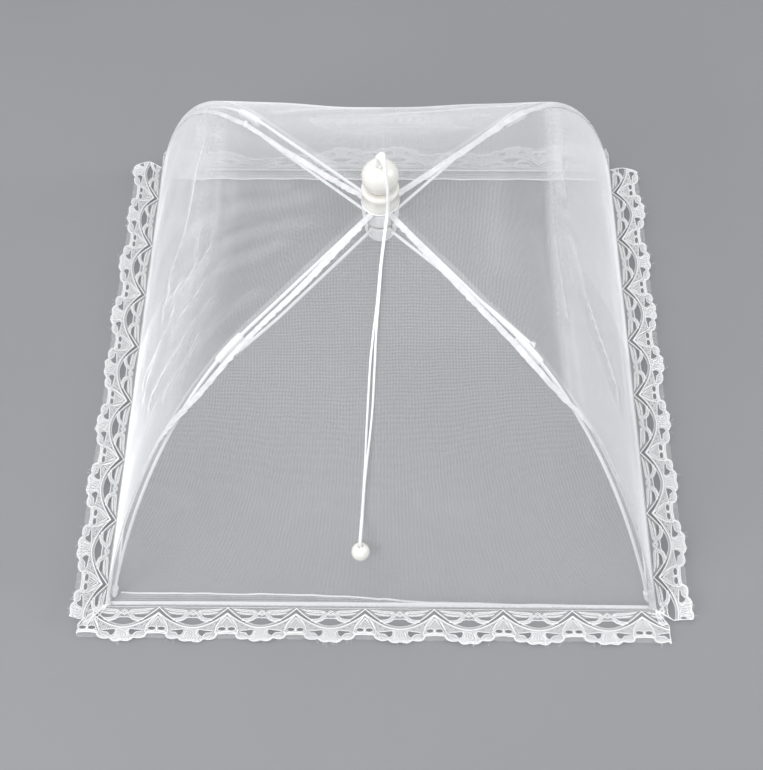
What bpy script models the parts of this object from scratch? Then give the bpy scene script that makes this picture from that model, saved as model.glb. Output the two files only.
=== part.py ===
"""A square pop-up food cover: fine mesh on four bowed wire ribs, with a lace edge and a pull cord.

The origin is the middle of the hem square, on the table. +Z is up and the front panel faces -Y.
The mesh is a square dome. At every height its section is a square with its corners on the ribs,
so each layer of it is the same side profile, moved inward by that layer's depth.
"""
import math

import bmesh
import bpy
from mathutils import Matrix, Vector

# Driving sizes, in metres
HEM_SIDE = 0.350
SHOULDER_REACH = 0.107
SHOULDER_HEIGHT = 0.176
CLOTH_RISE = 0.0163
BEND_START_REACH = 0.060
BEND_END_REACH = 0.090
CLEARANCE = 0.0003

# Angles, in degrees
BEND_START_ANGLE = 12.0
BEND_END_ANGLE = 68.0

# Mesh panels
CLOTH_THICKNESS = 0.0006
CLOTH_SAG = 0.004
CLOTH_HOLE_HALF = 0.0042
CLAMP_REACH = 0.0095
HEM_HEIGHT = 0.006
HEM_PROUD = 0.0006
HEM_DEPTH = 0.0010
SEAM_THICKNESS = 0.0008
SEAM_LEG = 0.0034
SEAM_START_REACH = 0.0145
SEAM_END_HEIGHT = 0.018

# Lace
LACE_WIDTH = 0.0235
LACE_THICKNESS = 0.0008
LACE_END_REACH = 0.008
LACE_END_DEPTH = 0.0184
LACE_REPEATS = 8

# Ribs, sleeves and tips
WIRE_RADIUS = 0.0010
RIB_DEPTH = 0.0039
RIB_END_HEIGHT = 0.0085
EYE_RADIUS = 0.0023
EYE_BORE = 0.0012
EYE_THICKNESS = 0.0018
TIP_RADIUS = 0.0022
TIP_LENGTH = 0.009
TIP_CROWN = 0.0016
SLEEVE_REACH = 0.113
SLEEVE_LENGTH = 0.020
SLEEVE_HALF_WIDTH = 0.0023
SLEEVE_RISE = 0.0020
SLEEVE_DROP = 0.0044

# Stretchers and rivets
ROD_RADIUS = 0.0009
ROD_STRAIGHT = 0.030
PIVOT_DROP = 0.0024
OUTER_EYE_RADIUS = 0.0021
OUTER_EYE_BORE = 0.0011
OUTER_EYE_THICKNESS = 0.0014
RIVET_RADIUS = 0.0008
RIVET_HEAD_RADIUS = 0.0017
RIVET_HEAD_HEIGHT = 0.0007

# Crown, its ring and what sits on it
CORD_BORE = 0.0019
STEM_RADIUS = 0.0034
STEM_HEIGHT = 0.0126
CROWN_RADIUS = 0.0103
CROWN_HEIGHT = 0.0109
CROWN_CORE_RADIUS = 0.0049
CROWN_RING_RADIUS = 0.0076
CROWN_RING_DROP = 0.0030
RING_WIRE_RADIUS = 0.0007
SLOT_WIDTH = 0.0028
EDGE_ROUND = 0.0006
WASHER_RADIUS = 0.0106
WASHER_THICKNESS = 0.0010
BARREL_RADIUS = 0.0104
BARREL_HEIGHT = 0.0118
BARREL_ROUND = 0.0018
BARREL_WAIST = 0.0004
BALL_RADIUS = 0.0100
BALL_FLAT_RADIUS = 0.0053

# Runner
RUNNER_TOP_GAP = 0.0035
RUNNER_HEAD_RADIUS = 0.0092
RUNNER_HEAD_HEIGHT = 0.0085
RUNNER_CORE_RADIUS = 0.0041
RUNNER_RING_RADIUS = 0.0068
RUNNER_RING_DROP = 0.0044
RUNNER_NECK_RADIUS = 0.0050
RUNNER_NECK_HEIGHT = 0.0022
FLANGE_RADIUS = 0.0079
FLANGE_THICKNESS = 0.0016

# Cord and bead
CORD_RADIUS = 0.00065
LIFT_CORD_RADIUS = 0.0015
KNOT_RADIUS = 0.0030
BEAD_RADIUS = 0.0055
BEAD_FLAT_RADIUS = 0.0026
BEAD_BORE = 0.0018
BEAD_X = -0.0111
BEAD_RUN_SHARE = 0.785
BEAD_PIVOT_SIDE = 0.0138
BEAD_PIVOT_HEIGHT = 0.0484
CORD_STEP = 0.0040
CORD_GAP = 0.0005

# Counts of faces
ROUND_SIDES = 24
WIRE_SIDES = 8
RING_STEPS = 24
RING_WIRE_SIDES = 6
EYE_SIDES = 12
BEND_STEPS = 11
BALL_STEPS = 9
LIFT_CORD_STEPS = 10

SIDES = ("front", "right", "back", "left")
CORNERS = {"front_right": -45.0, "back_right": 45.0, "back_left": 135.0, "front_left": -135.0}
ROOT_TWO = math.sqrt(2)

# Colours, roughness and metallic value of each finish
FINISHES = {
    "mesh": ((0.86, 0.86, 0.87), 0.75, 0.0),
    "lace": ((0.84, 0.84, 0.82), 0.80, 0.0),
    "tape": ((0.88, 0.88, 0.88), 0.80, 0.0),
    "cord": ((0.90, 0.90, 0.87), 0.70, 0.0),
    "plastic": ((0.88, 0.87, 0.83), 0.35, 0.0),
    "coated_wire": ((0.85, 0.85, 0.85), 0.40, 0.0),
    "bare_wire": ((0.60, 0.60, 0.60), 0.30, 1.0),
}


def clear_scene():
    for item in list(bpy.data.objects):
        bpy.data.objects.remove(item, do_unlink=True)


def material(node, finish):
    colour, roughness, metallic = FINISHES[finish]
    made = bpy.data.materials.new(node)
    made.use_nodes = True
    shader = made.node_tree.nodes["Principled BSDF"]
    shader.inputs["Base Color"].default_value = (*colour, 1.0)
    shader.inputs["Roughness"].default_value = roughness
    shader.inputs["Metallic"].default_value = metallic
    return made


# Mesh makers

def skin(rings, wrap=False):
    """A closed mesh over rings of equal counts: capped at both ends, or wrapped round on itself."""
    work = bmesh.new()
    loops = [[work.verts.new(point) for point in ring] for ring in rings]
    pairs = list(zip(loops, loops[1:]))
    if wrap:
        pairs.append((loops[-1], loops[0]))
    else:
        work.faces.new(loops[0])
        work.faces.new(loops[-1])
    for first, second in pairs:
        for index in range(len(first)):
            after = (index + 1) % len(first)
            work.faces.new((first[index], first[after], second[after], second[index]))
    return finish_mesh(work)


def finish_mesh(work):
    bmesh.ops.recalc_face_normals(work, faces=work.faces)
    made = bpy.data.meshes.new("shape")
    work.to_mesh(made)
    work.free()
    made.shade_smooth()
    made.set_sharp_from_angle(angle=math.radians(35))
    return made


def circle(radius, sides=ROUND_SIDES, start=0.0):
    turns = [start + 2 * math.pi * step / sides for step in range(sides)]
    return [(radius * math.cos(turn), radius * math.sin(turn)) for turn in turns]


def turned(profile, wrap=True, sides=ROUND_SIDES):
    """A solid of revolution about Z from (radius, height) points. A wrapped one has a bore."""
    return skin([[(x, y, height) for x, y in circle(radius, sides)] for radius, height in profile], wrap)


def wire_ring(radius):
    """A closed ring of wire round Z."""
    rings = []
    for step in range(RING_STEPS):
        turn = 2 * math.pi * (step + 0.5) / RING_STEPS
        rings.append([
            ((radius + out) * math.cos(turn), (radius + out) * math.sin(turn), up)
            for out, up in circle(RING_WIRE_RADIUS, RING_WIRE_SIDES)
        ])
    return skin(rings, wrap=True)


def frames_along(points):
    """For each point of a path: the point, its sideways direction and its upward direction."""
    frames = []
    for index, point in enumerate(points):
        before = points[max(index - 1, 0)]
        after = points[min(index + 1, len(points) - 1)]
        along = (Vector(after) - Vector(before)).normalized()
        side = Vector((0, 0, 1)).cross(along).normalized()
        frames.append((Vector(point), side, along.cross(side)))
    return frames


def section_at(frame, outline):
    point, side, up = frame
    return [point + side * across + up * rise for across, rise in outline]


def rod(points, radius, sides=WIRE_SIDES):
    outline = circle(radius, sides, math.pi / sides)
    return skin([section_at(frame, outline) for frame in frames_along(points)])


def disc(centre, radius, thickness, sides=EYE_SIDES):
    """A flat disc whose axis runs along Y."""
    x, y, z = centre
    halves = (y - thickness / 2, y + thickness / 2)
    return skin([[(x + a, level, z + b) for a, b in circle(radius, sides)] for level in halves])


def block(low, high):
    corners = [(low[0], low[1]), (high[0], low[1]), (high[0], high[1]), (low[0], high[1])]
    return skin([[(x, y, z) for x, y in corners] for z in (low[2], high[2])])


def carved(base, steps):
    """The base mesh after each (operation, tool mesh) is applied to it in turn."""
    body = bpy.data.objects.new("body", base)
    bpy.context.collection.objects.link(body)
    tools = []
    for operation, tool_mesh in steps:
        tool = bpy.data.objects.new("tool", tool_mesh)
        bpy.context.collection.objects.link(tool)
        tools.append(tool)
        change = body.modifiers.new(operation, "BOOLEAN")
        change.operation = operation
        change.object = tool
    bpy.context.view_layer.update()
    seen = body.evaluated_get(bpy.context.evaluated_depsgraph_get())
    made = bpy.data.meshes.new_from_object(seen)
    for item in [body, *tools]:
        bpy.data.objects.remove(item, do_unlink=True)
    made.shade_smooth()
    made.set_sharp_from_angle(angle=math.radians(35))
    return made


def add(node, mesh, finish, parent=None, location=(0, 0, 0), turn=0.0):
    """One named piece, with its own copy of the mesh and its own material."""
    made = bpy.data.objects.new(node, mesh.copy())
    bpy.context.collection.objects.link(made)
    made.data.name = node
    made.data.materials.clear()
    made.data.materials.append(material(node, finish))
    made.parent = parent
    made.location = location
    made.rotation_euler = (0, 0, math.radians(turn))
    return made


def add_pivot(name, location, turn, parent=None):
    """An empty on a joint's axis. Its X points outward and the hinge turns about its Y."""
    made = bpy.data.objects.new(name, None)
    bpy.context.collection.objects.link(made)
    made.empty_display_size = EYE_RADIUS
    made.parent = parent
    made.location = Matrix.Rotation(math.radians(turn), 3, "Z") @ Vector(location)
    made.rotation_euler = (0, 0, math.radians(turn))
    return made


# The side profile of the mesh

CLOTH_TOP = SHOULDER_HEIGHT + CLOTH_RISE


def bend_point(share):
    """A point of the curve from the shoulder to the table, as (reach along the diagonal, height)."""
    start = Vector((SHOULDER_REACH, SHOULDER_HEIGHT))
    end = Vector((HEM_SIDE / ROOT_TWO, 0))
    start_turn = math.radians(BEND_START_ANGLE)
    end_turn = math.radians(BEND_END_ANGLE)
    first = start + BEND_START_REACH * Vector((math.cos(start_turn), -math.sin(start_turn)))
    second = end + BEND_END_REACH * Vector((-math.cos(end_turn), math.sin(end_turn)))
    rest = 1 - share
    return rest**3 * start + 3 * rest**2 * share * first + 3 * rest * share**2 * second + share**3 * end


def share_at_height(height):
    """Where on the bend a height is reached. The bend falls all the way, so halving finds it."""
    low, high = 0.0, 1.0
    for _ in range(40):
        middle = (low + high) / 2
        if bend_point(middle)[1] > height:
            low = middle
        else:
            high = middle
    return low


def bend_to(height):
    """Points (half side, height) of the mesh's outer face, from the shoulder down to a height."""
    last = share_at_height(height)
    shares = [last * step / BEND_STEPS for step in range(BEND_STEPS + 1)]
    return [(reach / ROOT_TWO, level) for reach, level in map(bend_point, shares)]


def top_slope_point(half_side):
    """The outer face between the clamp and the shoulder, which is a straight slope."""
    shoulder = SHOULDER_REACH / ROOT_TWO
    share = (half_side - CLAMP_REACH) / (shoulder - CLAMP_REACH)
    return (half_side, CLOTH_TOP - share * CLOTH_RISE)


def inward(points, depth):
    """The profile moved inward by a depth, with its corners mitred."""
    moved = []
    last = len(points) - 1
    for index in range(len(points)):
        here = Vector(points[index])
        normals = []
        for near, far in ((max(index - 1, 0), index), (index, min(index + 1, last))):
            step = Vector(points[far]) - Vector(points[near])
            if step.length:
                normals.append(Vector((step[1], -step[0])).normalized())
        middle = sum(normals, Vector((0, 0))).normalized()
        moved.append(tuple(here + middle * depth / middle.dot(normals[0])))
    return moved


SHOULDER_SIDE = SHOULDER_REACH / ROOT_TWO
SLOPE_SHARES = (0.25, 0.5, 0.75)
PANEL_SIDES = [SHOULDER_SIDE * share for share in SLOPE_SHARES]
PANEL_PROFILE = [
    (CLOTH_HOLE_HALF, CLOTH_TOP),
    (CLAMP_REACH, CLOTH_TOP),
    *[top_slope_point(side) for side in PANEL_SIDES],
    *bend_to(HEM_HEIGHT + CLEARANCE),
]


def run_lengths(points):
    lengths = [0.0]
    for first, second in zip(points, points[1:]):
        lengths.append(lengths[-1] + math.dist(first, second))
    return lengths


def sag_depth(run_share, across_share):
    """How far the mesh hangs in between two ribs, at a share of its run and of its half width."""
    return CLOTH_SAG * math.sin(math.pi * run_share)**2 * (1 - across_share**2)**2


# Mesh panels, hems, lace and seam tapes. Each is made for the front or for one corner, then turned.

MIDDLE_SHARE = 0.18
ACROSS_SHARES = (-1.0, -0.9, -0.58, -MIDDLE_SHARE, MIDDLE_SHARE, 0.58, 0.9, 1.0)


def panel_mesh():
    """The front panel: rows that run across it, from the hub down to the hem."""
    lengths = run_lengths(PANEL_PROFILE)
    inner_profile = inward(PANEL_PROFILE, CLOTH_THICKNESS)
    hold_back = CLEARANCE / ROOT_TWO
    rings = []
    for index in range(len(PANEL_PROFILE)):
        run_share = lengths[index] / lengths[-1]
        ring = []
        for profile, shares in ((PANEL_PROFILE, ACROSS_SHARES), (inner_profile, ACROSS_SHARES[::-1])):
            for share in shares:
                depth = sag_depth(run_share, share)
                side, height = inward(profile, depth)[index]
                ring.append((share * (profile[index][0] - hold_back), -side, height))
        rings.append(ring)
    return skin(rings)


def hem_mesh():
    """The front hem: a folded band on the table, cut at 45 degrees at both ends."""
    slope = math.radians(BEND_END_ANGLE)
    half_side = HEM_SIDE / 2
    lean = HEM_HEIGHT / math.tan(slope) / ROOT_TWO
    outline = [
        (half_side + HEM_PROUD, 0),
        (half_side + HEM_PROUD - lean, HEM_HEIGHT),
        (half_side - HEM_DEPTH - lean, HEM_HEIGHT),
        (half_side - HEM_DEPTH, 0),
    ]
    hold_back = CLEARANCE / ROOT_TWO
    return skin([
        [(end * (side - hold_back), -side, height) for side, height in outline] for end in (-1, 1)
    ])


# One repeat of the lace: shares of the repeat's length and of the lace's width.
# The outer edge has small lobes, and each outline of a hole is listed once round.
LACE_EDGE_SHARES = (
    (0.0, 0.80), (0.08, 0.89), (0.17, 0.94), (0.25, 0.96), (0.33, 0.99), (0.41, 0.97),
    (0.5, 1.0), (0.59, 0.97), (0.67, 0.99), (0.75, 0.96), (0.83, 0.94), (0.92, 0.89),
)
LACE_LENS_SHARES = (
    (0.22, 0.43), (0.32, 0.51), (0.42, 0.54), (0.58, 0.54), (0.68, 0.51), (0.78, 0.43),
    (0.62, 0.42), (0.38, 0.42),
)
LACE_FAN_SHARES = ((0.20, 0.72), (0.30, 0.69), (0.40, 0.74), (0.33, 0.85))


def mirrored(outline):
    return [(1 - along, out) for along, out in outline[::-1]]


LACE_HOLES = (LACE_LENS_SHARES, LACE_FAN_SHARES, mirrored(LACE_FAN_SHARES))


def lace_mesh():
    """The front lace: a flat strip with a scalloped edge and open work, outside the hem."""
    repeat = HEM_SIDE / LACE_REPEATS
    left = -HEM_SIDE / 2
    hem_face = HEM_SIDE / 2 + HEM_PROUD + CLEARANCE

    def placed(outline, index):
        return [
            (left + repeat * (index + along), -hem_face - LACE_WIDTH * out) for along, out in outline
        ]

    edge = []
    for index in range(LACE_REPEATS):
        edge += placed(LACE_EDGE_SHARES, index)
    right_end = (-left + LACE_END_REACH, -hem_face - LACE_END_DEPTH)
    left_end = (left - LACE_END_REACH, -hem_face - LACE_END_DEPTH)
    outline = [(left, -hem_face), left_end, *edge[1:], right_end, (-left, -hem_face)]
    loops = [outline]
    for index in range(LACE_REPEATS):
        loops += [placed(hole, index) for hole in LACE_HOLES]
    work = bmesh.new()
    edges = []
    for loop in loops:
        verts = [work.verts.new((x, y, 0)) for x, y in loop]
        edges += [work.edges.new(pair) for pair in zip(verts, verts[1:] + verts[:1])]
    bmesh.ops.triangle_fill(work, edges=edges, use_beauty=True, use_dissolve=False)
    grown = bmesh.ops.extrude_face_region(work, geom=work.faces[:], use_keep_orig=True)
    top = [item for item in grown["geom"] if isinstance(item, bmesh.types.BMVert)]
    bmesh.ops.translate(work, verts=top, vec=(0, 0, LACE_THICKNESS))
    return finish_mesh(work)


def seam_mesh():
    """A tape folded along the corner seam, as an angle section with its edge outward along X."""
    depth = CLOTH_THICKNESS + CLEARANCE
    start = top_slope_point(SEAM_START_REACH)
    middles = [top_slope_point(side) for side in PANEL_SIDES if side > SEAM_START_REACH * ROOT_TWO]
    profile = [start, *middles, *bend_to(SEAM_END_HEIGHT)]
    outer = inward(profile, depth)
    inner = inward(profile, depth + SEAM_THICKNESS)
    rings = []
    for (outer_side, outer_height), (inner_side, inner_height) in zip(outer, inner):
        leg = SEAM_LEG
        short_leg = SEAM_LEG - (outer_side - inner_side)
        rings.append([
            (ROOT_TWO * outer_side, 0, outer_height),
            (ROOT_TWO * outer_side - leg / ROOT_TWO, leg / ROOT_TWO, outer_height),
            (ROOT_TWO * inner_side - short_leg / ROOT_TWO, short_leg / ROOT_TWO, inner_height),
            (ROOT_TWO * inner_side, 0, inner_height),
            (ROOT_TWO * inner_side - short_leg / ROOT_TWO, -short_leg / ROOT_TWO, inner_height),
            (ROOT_TWO * outer_side - leg / ROOT_TWO, -leg / ROOT_TWO, outer_height),
        ])
    return skin(rings)


# The linkage, in the plane of one rib: x is the reach along the diagonal, z the height

CROWN_TOP = CLOTH_TOP - CLOTH_THICKNESS - CLEARANCE
CROWN_PIVOT = Vector((CROWN_RING_RADIUS, 0, CROWN_TOP - CROWN_RING_DROP))
RUNNER_TOP = CROWN_TOP - CROWN_HEIGHT - RUNNER_TOP_GAP
RUNNER_LOW = RUNNER_TOP - RUNNER_HEAD_HEIGHT - RUNNER_NECK_HEIGHT - FLANGE_THICKNESS
RUNNER_PIVOT = Vector((RUNNER_RING_RADIUS, 0, RUNNER_TOP - RUNNER_RING_DROP))


def rib_bend(height):
    """The rib's middle line from the shoulder down, set in from the mesh by the rib's depth."""
    return [Vector((ROOT_TWO * side, 0, level)) for side, level in inward(bend_to(height), RIB_DEPTH)]


RIB_LINE = [CROWN_PIVOT, *rib_bend(RIB_END_HEIGHT)]


def rib_place(reach):
    """The point of the rib's middle line at a reach from the axis."""
    for first, second in zip(RIB_LINE, RIB_LINE[1:]):
        if first.x <= reach <= second.x:
            return first.lerp(second, (reach - first.x) / (second.x - first.x))
    return RIB_LINE[-1]


def rib_down(reach):
    """The direction square to the rib there, towards the inside of the cover."""
    along = (rib_place(reach + WIRE_RADIUS) - rib_place(reach - WIRE_RADIUS)).normalized()
    return Vector((along.z, 0, -along.x))


STRETCHER_SIDE = SLEEVE_HALF_WIDTH + 2 * CLEARANCE + OUTER_EYE_THICKNESS
SLEEVE_PIVOT = rib_place(SLEEVE_REACH) + PIVOT_DROP * rib_down(SLEEVE_REACH)


def rib_mesh():
    """A bowed wire with a flat eye at the crown. Its own zero is the crown pivot."""
    line = [point - CROWN_PIVOT for point in RIB_LINE]
    wire = rod(line, WIRE_RADIUS)
    eye = disc((0, 0, 0), EYE_RADIUS, EYE_THICKNESS)
    bore = disc((0, 0, 0), EYE_BORE, EYE_THICKNESS * 2)
    return carved(wire, [("UNION", eye), ("DIFFERENCE", bore)])


def tip_mesh():
    """A cap over the rib's lower end, with a blind bore and a rounded foot."""
    line = [point - CROWN_PIVOT for point in RIB_LINE]
    end = line[-1]
    along = (line[-1] - line[-2]).normalized()
    side = Vector((0, 1, 0))
    up = along.cross(side)
    bore_end = CLEARANCE
    foot = bore_end + TIP_RADIUS / 2
    bore_radius = WIRE_RADIUS + CLEARANCE
    rings = []
    for reach, radius in (
        (bore_end, bore_radius), (foot - TIP_LENGTH, bore_radius), (foot - TIP_LENGTH, TIP_RADIUS * 0.8),
        (foot - TIP_LENGTH * 0.9, TIP_RADIUS), (foot - TIP_CROWN * 0.6, TIP_RADIUS),
        (foot, TIP_RADIUS * 0.86), (foot + TIP_CROWN * 0.5, TIP_RADIUS * 0.45),
    ):
        centre = end + along * reach
        rings.append([centre + side * a + up * b for a, b in circle(radius, 10)])
    return skin(rings)


def sleeve_mesh():
    """An oval clamp that follows the rib, bored for it. The stretcher is riveted to its lower half."""
    start = rib_place(SLEEVE_REACH - SLEEVE_LENGTH / 2)
    end = rib_place(SLEEVE_REACH + SLEEVE_LENGTH / 2)
    between = [point for point in RIB_LINE if start.x < point.x < end.x]
    frames = frames_along([point - CROWN_PIVOT for point in (start, *between, end)])
    half_height = (SLEEVE_RISE + SLEEVE_DROP) / 2
    middle = (SLEEVE_RISE - SLEEVE_DROP) / 2
    oval = [
        (SLEEVE_HALF_WIDTH * across, middle + half_height * rise) for across, rise in circle(1, 12)
    ]
    bore = circle(WIRE_RADIUS + CLEARANCE, 12)
    outside = [section_at(frame, oval) for frame in frames]
    inside = [section_at(frame, bore) for frame in frames]
    return skin(outside + inside[::-1], wrap=True)


def stretcher_mesh():
    """A wire stretcher with an eye at each end. Its own zero is the runner pivot."""
    outer = SLEEVE_PIVOT - RUNNER_PIVOT + Vector((0, STRETCHER_SIDE, 0))
    flat_run = Vector((outer.x, 0, outer.z)).normalized() * ROD_STRAIGHT
    knee = outer - flat_run
    wire = rod([Vector((0, 0, 0)), knee, outer], ROD_RADIUS)
    return carved(wire, [
        ("UNION", disc((0, 0, 0), EYE_RADIUS, EYE_THICKNESS)),
        ("UNION", disc(outer, OUTER_EYE_RADIUS, OUTER_EYE_THICKNESS)),
        ("DIFFERENCE", disc((0, 0, 0), EYE_BORE, EYE_THICKNESS * 2)),
        ("DIFFERENCE", disc(outer, OUTER_EYE_BORE, OUTER_EYE_THICKNESS * 2)),
    ])


def rivet_mesh():
    """A headed rivet along Y, from beside the sleeve out through the stretcher's eye."""
    outer = SLEEVE_PIVOT - RUNNER_PIVOT
    shank_start = SLEEVE_HALF_WIDTH + CLEARANCE
    head_start = STRETCHER_SIDE + OUTER_EYE_THICKNESS / 2 + CLEARANCE
    head_end = head_start + RIVET_HEAD_HEIGHT
    rings = []
    for level, radius in (
        (shank_start, RIVET_RADIUS), (head_start, RIVET_RADIUS), (head_start, RIVET_HEAD_RADIUS),
        (head_end - RIVET_HEAD_HEIGHT / 3, RIVET_HEAD_RADIUS), (head_end, RIVET_HEAD_RADIUS * 0.7),
    ):
        rings.append([(outer.x + a, level, outer.z + b) for a, b in circle(radius, 10)])
    return skin(rings)


# The hub

def slot_cutters(core_radius, outer_radius, low, high):
    """Four blocks on the diagonals, for the slots in which the eyes turn."""
    cutters = []
    for turn in CORNERS.values():
        cutter = block(
            (core_radius, -SLOT_WIDTH / 2, low - EYE_RADIUS),
            (outer_radius + EYE_RADIUS, SLOT_WIDTH / 2, high + EYE_RADIUS),
        )
        cutter.transform(Matrix.Rotation(math.radians(turn), 4, "Z"))
        cutters.append(("DIFFERENCE", cutter))
    return cutters


def groove_cutter(ring_radius, ring_height, top):
    """The ring's groove, open at the top, so the ring can be laid in."""
    half = RING_WIRE_RADIUS + CLEARANCE
    floor = ring_height - half
    ceiling = top + EYE_RADIUS
    return ("DIFFERENCE", turned([
        (ring_radius + half, ceiling), (ring_radius + half, floor),
        (ring_radius - half, floor), (ring_radius - half, ceiling),
    ]))


def crown_mesh():
    bottom = CROWN_TOP - CROWN_HEIGHT
    body = turned([
        (CORD_BORE, CROWN_TOP + STEM_HEIGHT), (STEM_RADIUS, CROWN_TOP + STEM_HEIGHT),
        (STEM_RADIUS, CROWN_TOP), (CROWN_RADIUS - EDGE_ROUND, CROWN_TOP),
        (CROWN_RADIUS, CROWN_TOP - EDGE_ROUND), (CROWN_RADIUS, bottom + 2 * EDGE_ROUND),
        (CROWN_RADIUS - 2 * EDGE_ROUND, bottom), (CORD_BORE, bottom),
    ])
    steps = [groove_cutter(CROWN_RING_RADIUS, CROWN_PIVOT.z, CROWN_TOP)]
    steps += slot_cutters(CROWN_CORE_RADIUS, CROWN_RADIUS, bottom, CROWN_TOP)
    return carved(body, steps)


def runner_mesh():
    head_low = RUNNER_TOP - RUNNER_HEAD_HEIGHT
    flange_top = RUNNER_LOW + FLANGE_THICKNESS
    body = turned([
        (CORD_BORE, RUNNER_TOP), (RUNNER_HEAD_RADIUS - EDGE_ROUND, RUNNER_TOP),
        (RUNNER_HEAD_RADIUS, RUNNER_TOP - EDGE_ROUND), (RUNNER_HEAD_RADIUS, head_low + EDGE_ROUND),
        (RUNNER_HEAD_RADIUS - EDGE_ROUND, head_low), (RUNNER_NECK_RADIUS, head_low - EDGE_ROUND),
        (RUNNER_NECK_RADIUS, flange_top + 2 * EDGE_ROUND), (FLANGE_RADIUS - EDGE_ROUND, flange_top),
        (FLANGE_RADIUS, flange_top - EDGE_ROUND), (FLANGE_RADIUS, RUNNER_LOW + EDGE_ROUND),
        (FLANGE_RADIUS - EDGE_ROUND, RUNNER_LOW), (CORD_BORE, RUNNER_LOW),
    ])
    steps = [groove_cutter(RUNNER_RING_RADIUS, RUNNER_PIVOT.z, RUNNER_TOP)]
    steps += slot_cutters(RUNNER_CORE_RADIUS, RUNNER_HEAD_RADIUS, head_low, RUNNER_TOP)
    return carved(body, steps)


WASHER_LOW = CLOTH_TOP + CLEARANCE
BARREL_LOW = WASHER_LOW + WASHER_THICKNESS + CLEARANCE
BARREL_TOP = BARREL_LOW + BARREL_HEIGHT
BALL_LOW = BARREL_TOP + CLEARANCE
BALL_CENTRE = BALL_LOW + math.sqrt(BALL_RADIUS**2 - BALL_FLAT_RADIUS**2)


def washer_mesh():
    bore = STEM_RADIUS + CLEARANCE
    top = WASHER_LOW + WASHER_THICKNESS
    return turned([(bore, top), (WASHER_RADIUS, top), (WASHER_RADIUS, WASHER_LOW), (bore, WASHER_LOW)])


def barrel_mesh():
    """A barrel that drops over the crown's stem, with rounded shoulders and a slight waist."""
    bore = STEM_RADIUS + CLEARANCE
    pocket = CROWN_TOP + STEM_HEIGHT + CLEARANCE
    waist = (BARREL_LOW + BARREL_TOP) / 2
    return turned([
        (CORD_BORE, pocket), (CORD_BORE, BARREL_TOP), (BARREL_RADIUS - BARREL_ROUND, BARREL_TOP),
        (BARREL_RADIUS - BARREL_ROUND / 3, BARREL_TOP - BARREL_ROUND / 3),
        (BARREL_RADIUS, BARREL_TOP - BARREL_ROUND), (BARREL_RADIUS - BARREL_WAIST, waist),
        (BARREL_RADIUS, BARREL_LOW + BARREL_ROUND / 2),
        (BARREL_RADIUS - BARREL_ROUND / 4, BARREL_LOW), (bore, BARREL_LOW), (bore, pocket),
    ])


def bored_ball(radius, low_flat, high_flat, bore, sides=ROUND_SIDES):
    """A ball with a flat at each end and a bore between them, about its own middle."""
    start = math.acos(high_flat / radius)
    end = -math.acos(low_flat / radius)
    profile = [(bore, radius * math.sin(start))]
    for step in range(BALL_STEPS + 1):
        turn = start + (end - start) * step / BALL_STEPS
        profile.append((radius * math.cos(turn), radius * math.sin(turn)))
    profile.append((bore, radius * math.sin(end)))
    return turned(profile, sides=sides)


# The cord: two strands that lie side by side, open a little half way down and close again

def panel_point(run_share, x, lift):
    """A point over the middle of the front panel, with the downward and outward directions there."""
    lengths = run_lengths(PANEL_PROFILE)
    run = run_share * lengths[-1]
    index = max(step for step in range(len(lengths) - 1) if lengths[step] <= run)
    first = Vector(PANEL_PROFILE[index])
    second = Vector(PANEL_PROFILE[index + 1])
    side, height = first.lerp(second, (run - lengths[index]) / (lengths[index + 1] - lengths[index]))
    fall = (second - first).normalized()
    down = Vector((0, -fall[0], fall[1]))
    out = Vector((0, fall[1], fall[0]))
    depth = sag_depth(run_share, MIDDLE_SHARE)
    return Vector((x, -side, height)) + out * (lift - depth), down, out


# Over the knob: (x, y, height above the ball's middle)
CORD_OVER_KNOB = (
    (0.0000, 0.0000, 0.0092), (0.0000, 0.0000, 0.0125), (0.0001, -0.0003, 0.0152),
    (0.0010, -0.0022, 0.0180), (0.0020, -0.0048, 0.0176), (0.0027, -0.0066, 0.0148),
    (0.0032, -0.0078, 0.0110), (0.0037, -0.0091, 0.0066), (0.0041, -0.0103, 0.0025),
    (0.0043, -0.0107, -0.0020), (0.0043, -0.0110, -0.0070), (0.0042, -0.0112, -0.0125),
    (0.0039, -0.0121, -0.0170), (0.0034, -0.0150, -0.0201),
)
# Down the front panel: (x, share of the panel's run, half of the way between the strands)
CORD_ON_PANEL = (
    (0.0026, 0.060, 0.00080), (0.0008, 0.120, 0.00080), (-0.0007, 0.196, 0.00085),
    (-0.0026, 0.277, 0.00105), (-0.0036, 0.336, 0.00125), (-0.0044, 0.400, 0.00135),
    (-0.0061, 0.493, 0.00100), (-0.0076, 0.565, 0.00080), (-0.0090, 0.640, 0.00080),
    (-0.0098, 0.690, 0.00080),
)


def bead_frame():
    return panel_point(BEAD_RUN_SHARE, BEAD_X, BEAD_RADIUS + CLEARANCE)


def cord_place(run_share):
    """The cord's sideways place and the strands' spread, at a share of the panel's run."""
    for first, second in zip(CORD_ON_PANEL, CORD_ON_PANEL[1:]):
        if first[1] <= run_share <= second[1]:
            share = (run_share - first[1]) / (second[1] - first[1])
            return [first[item] + share * (second[item] - first[item]) for item in (0, 2)]
    return [CORD_ON_PANEL[-1][item] for item in (0, 2)]


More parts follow.
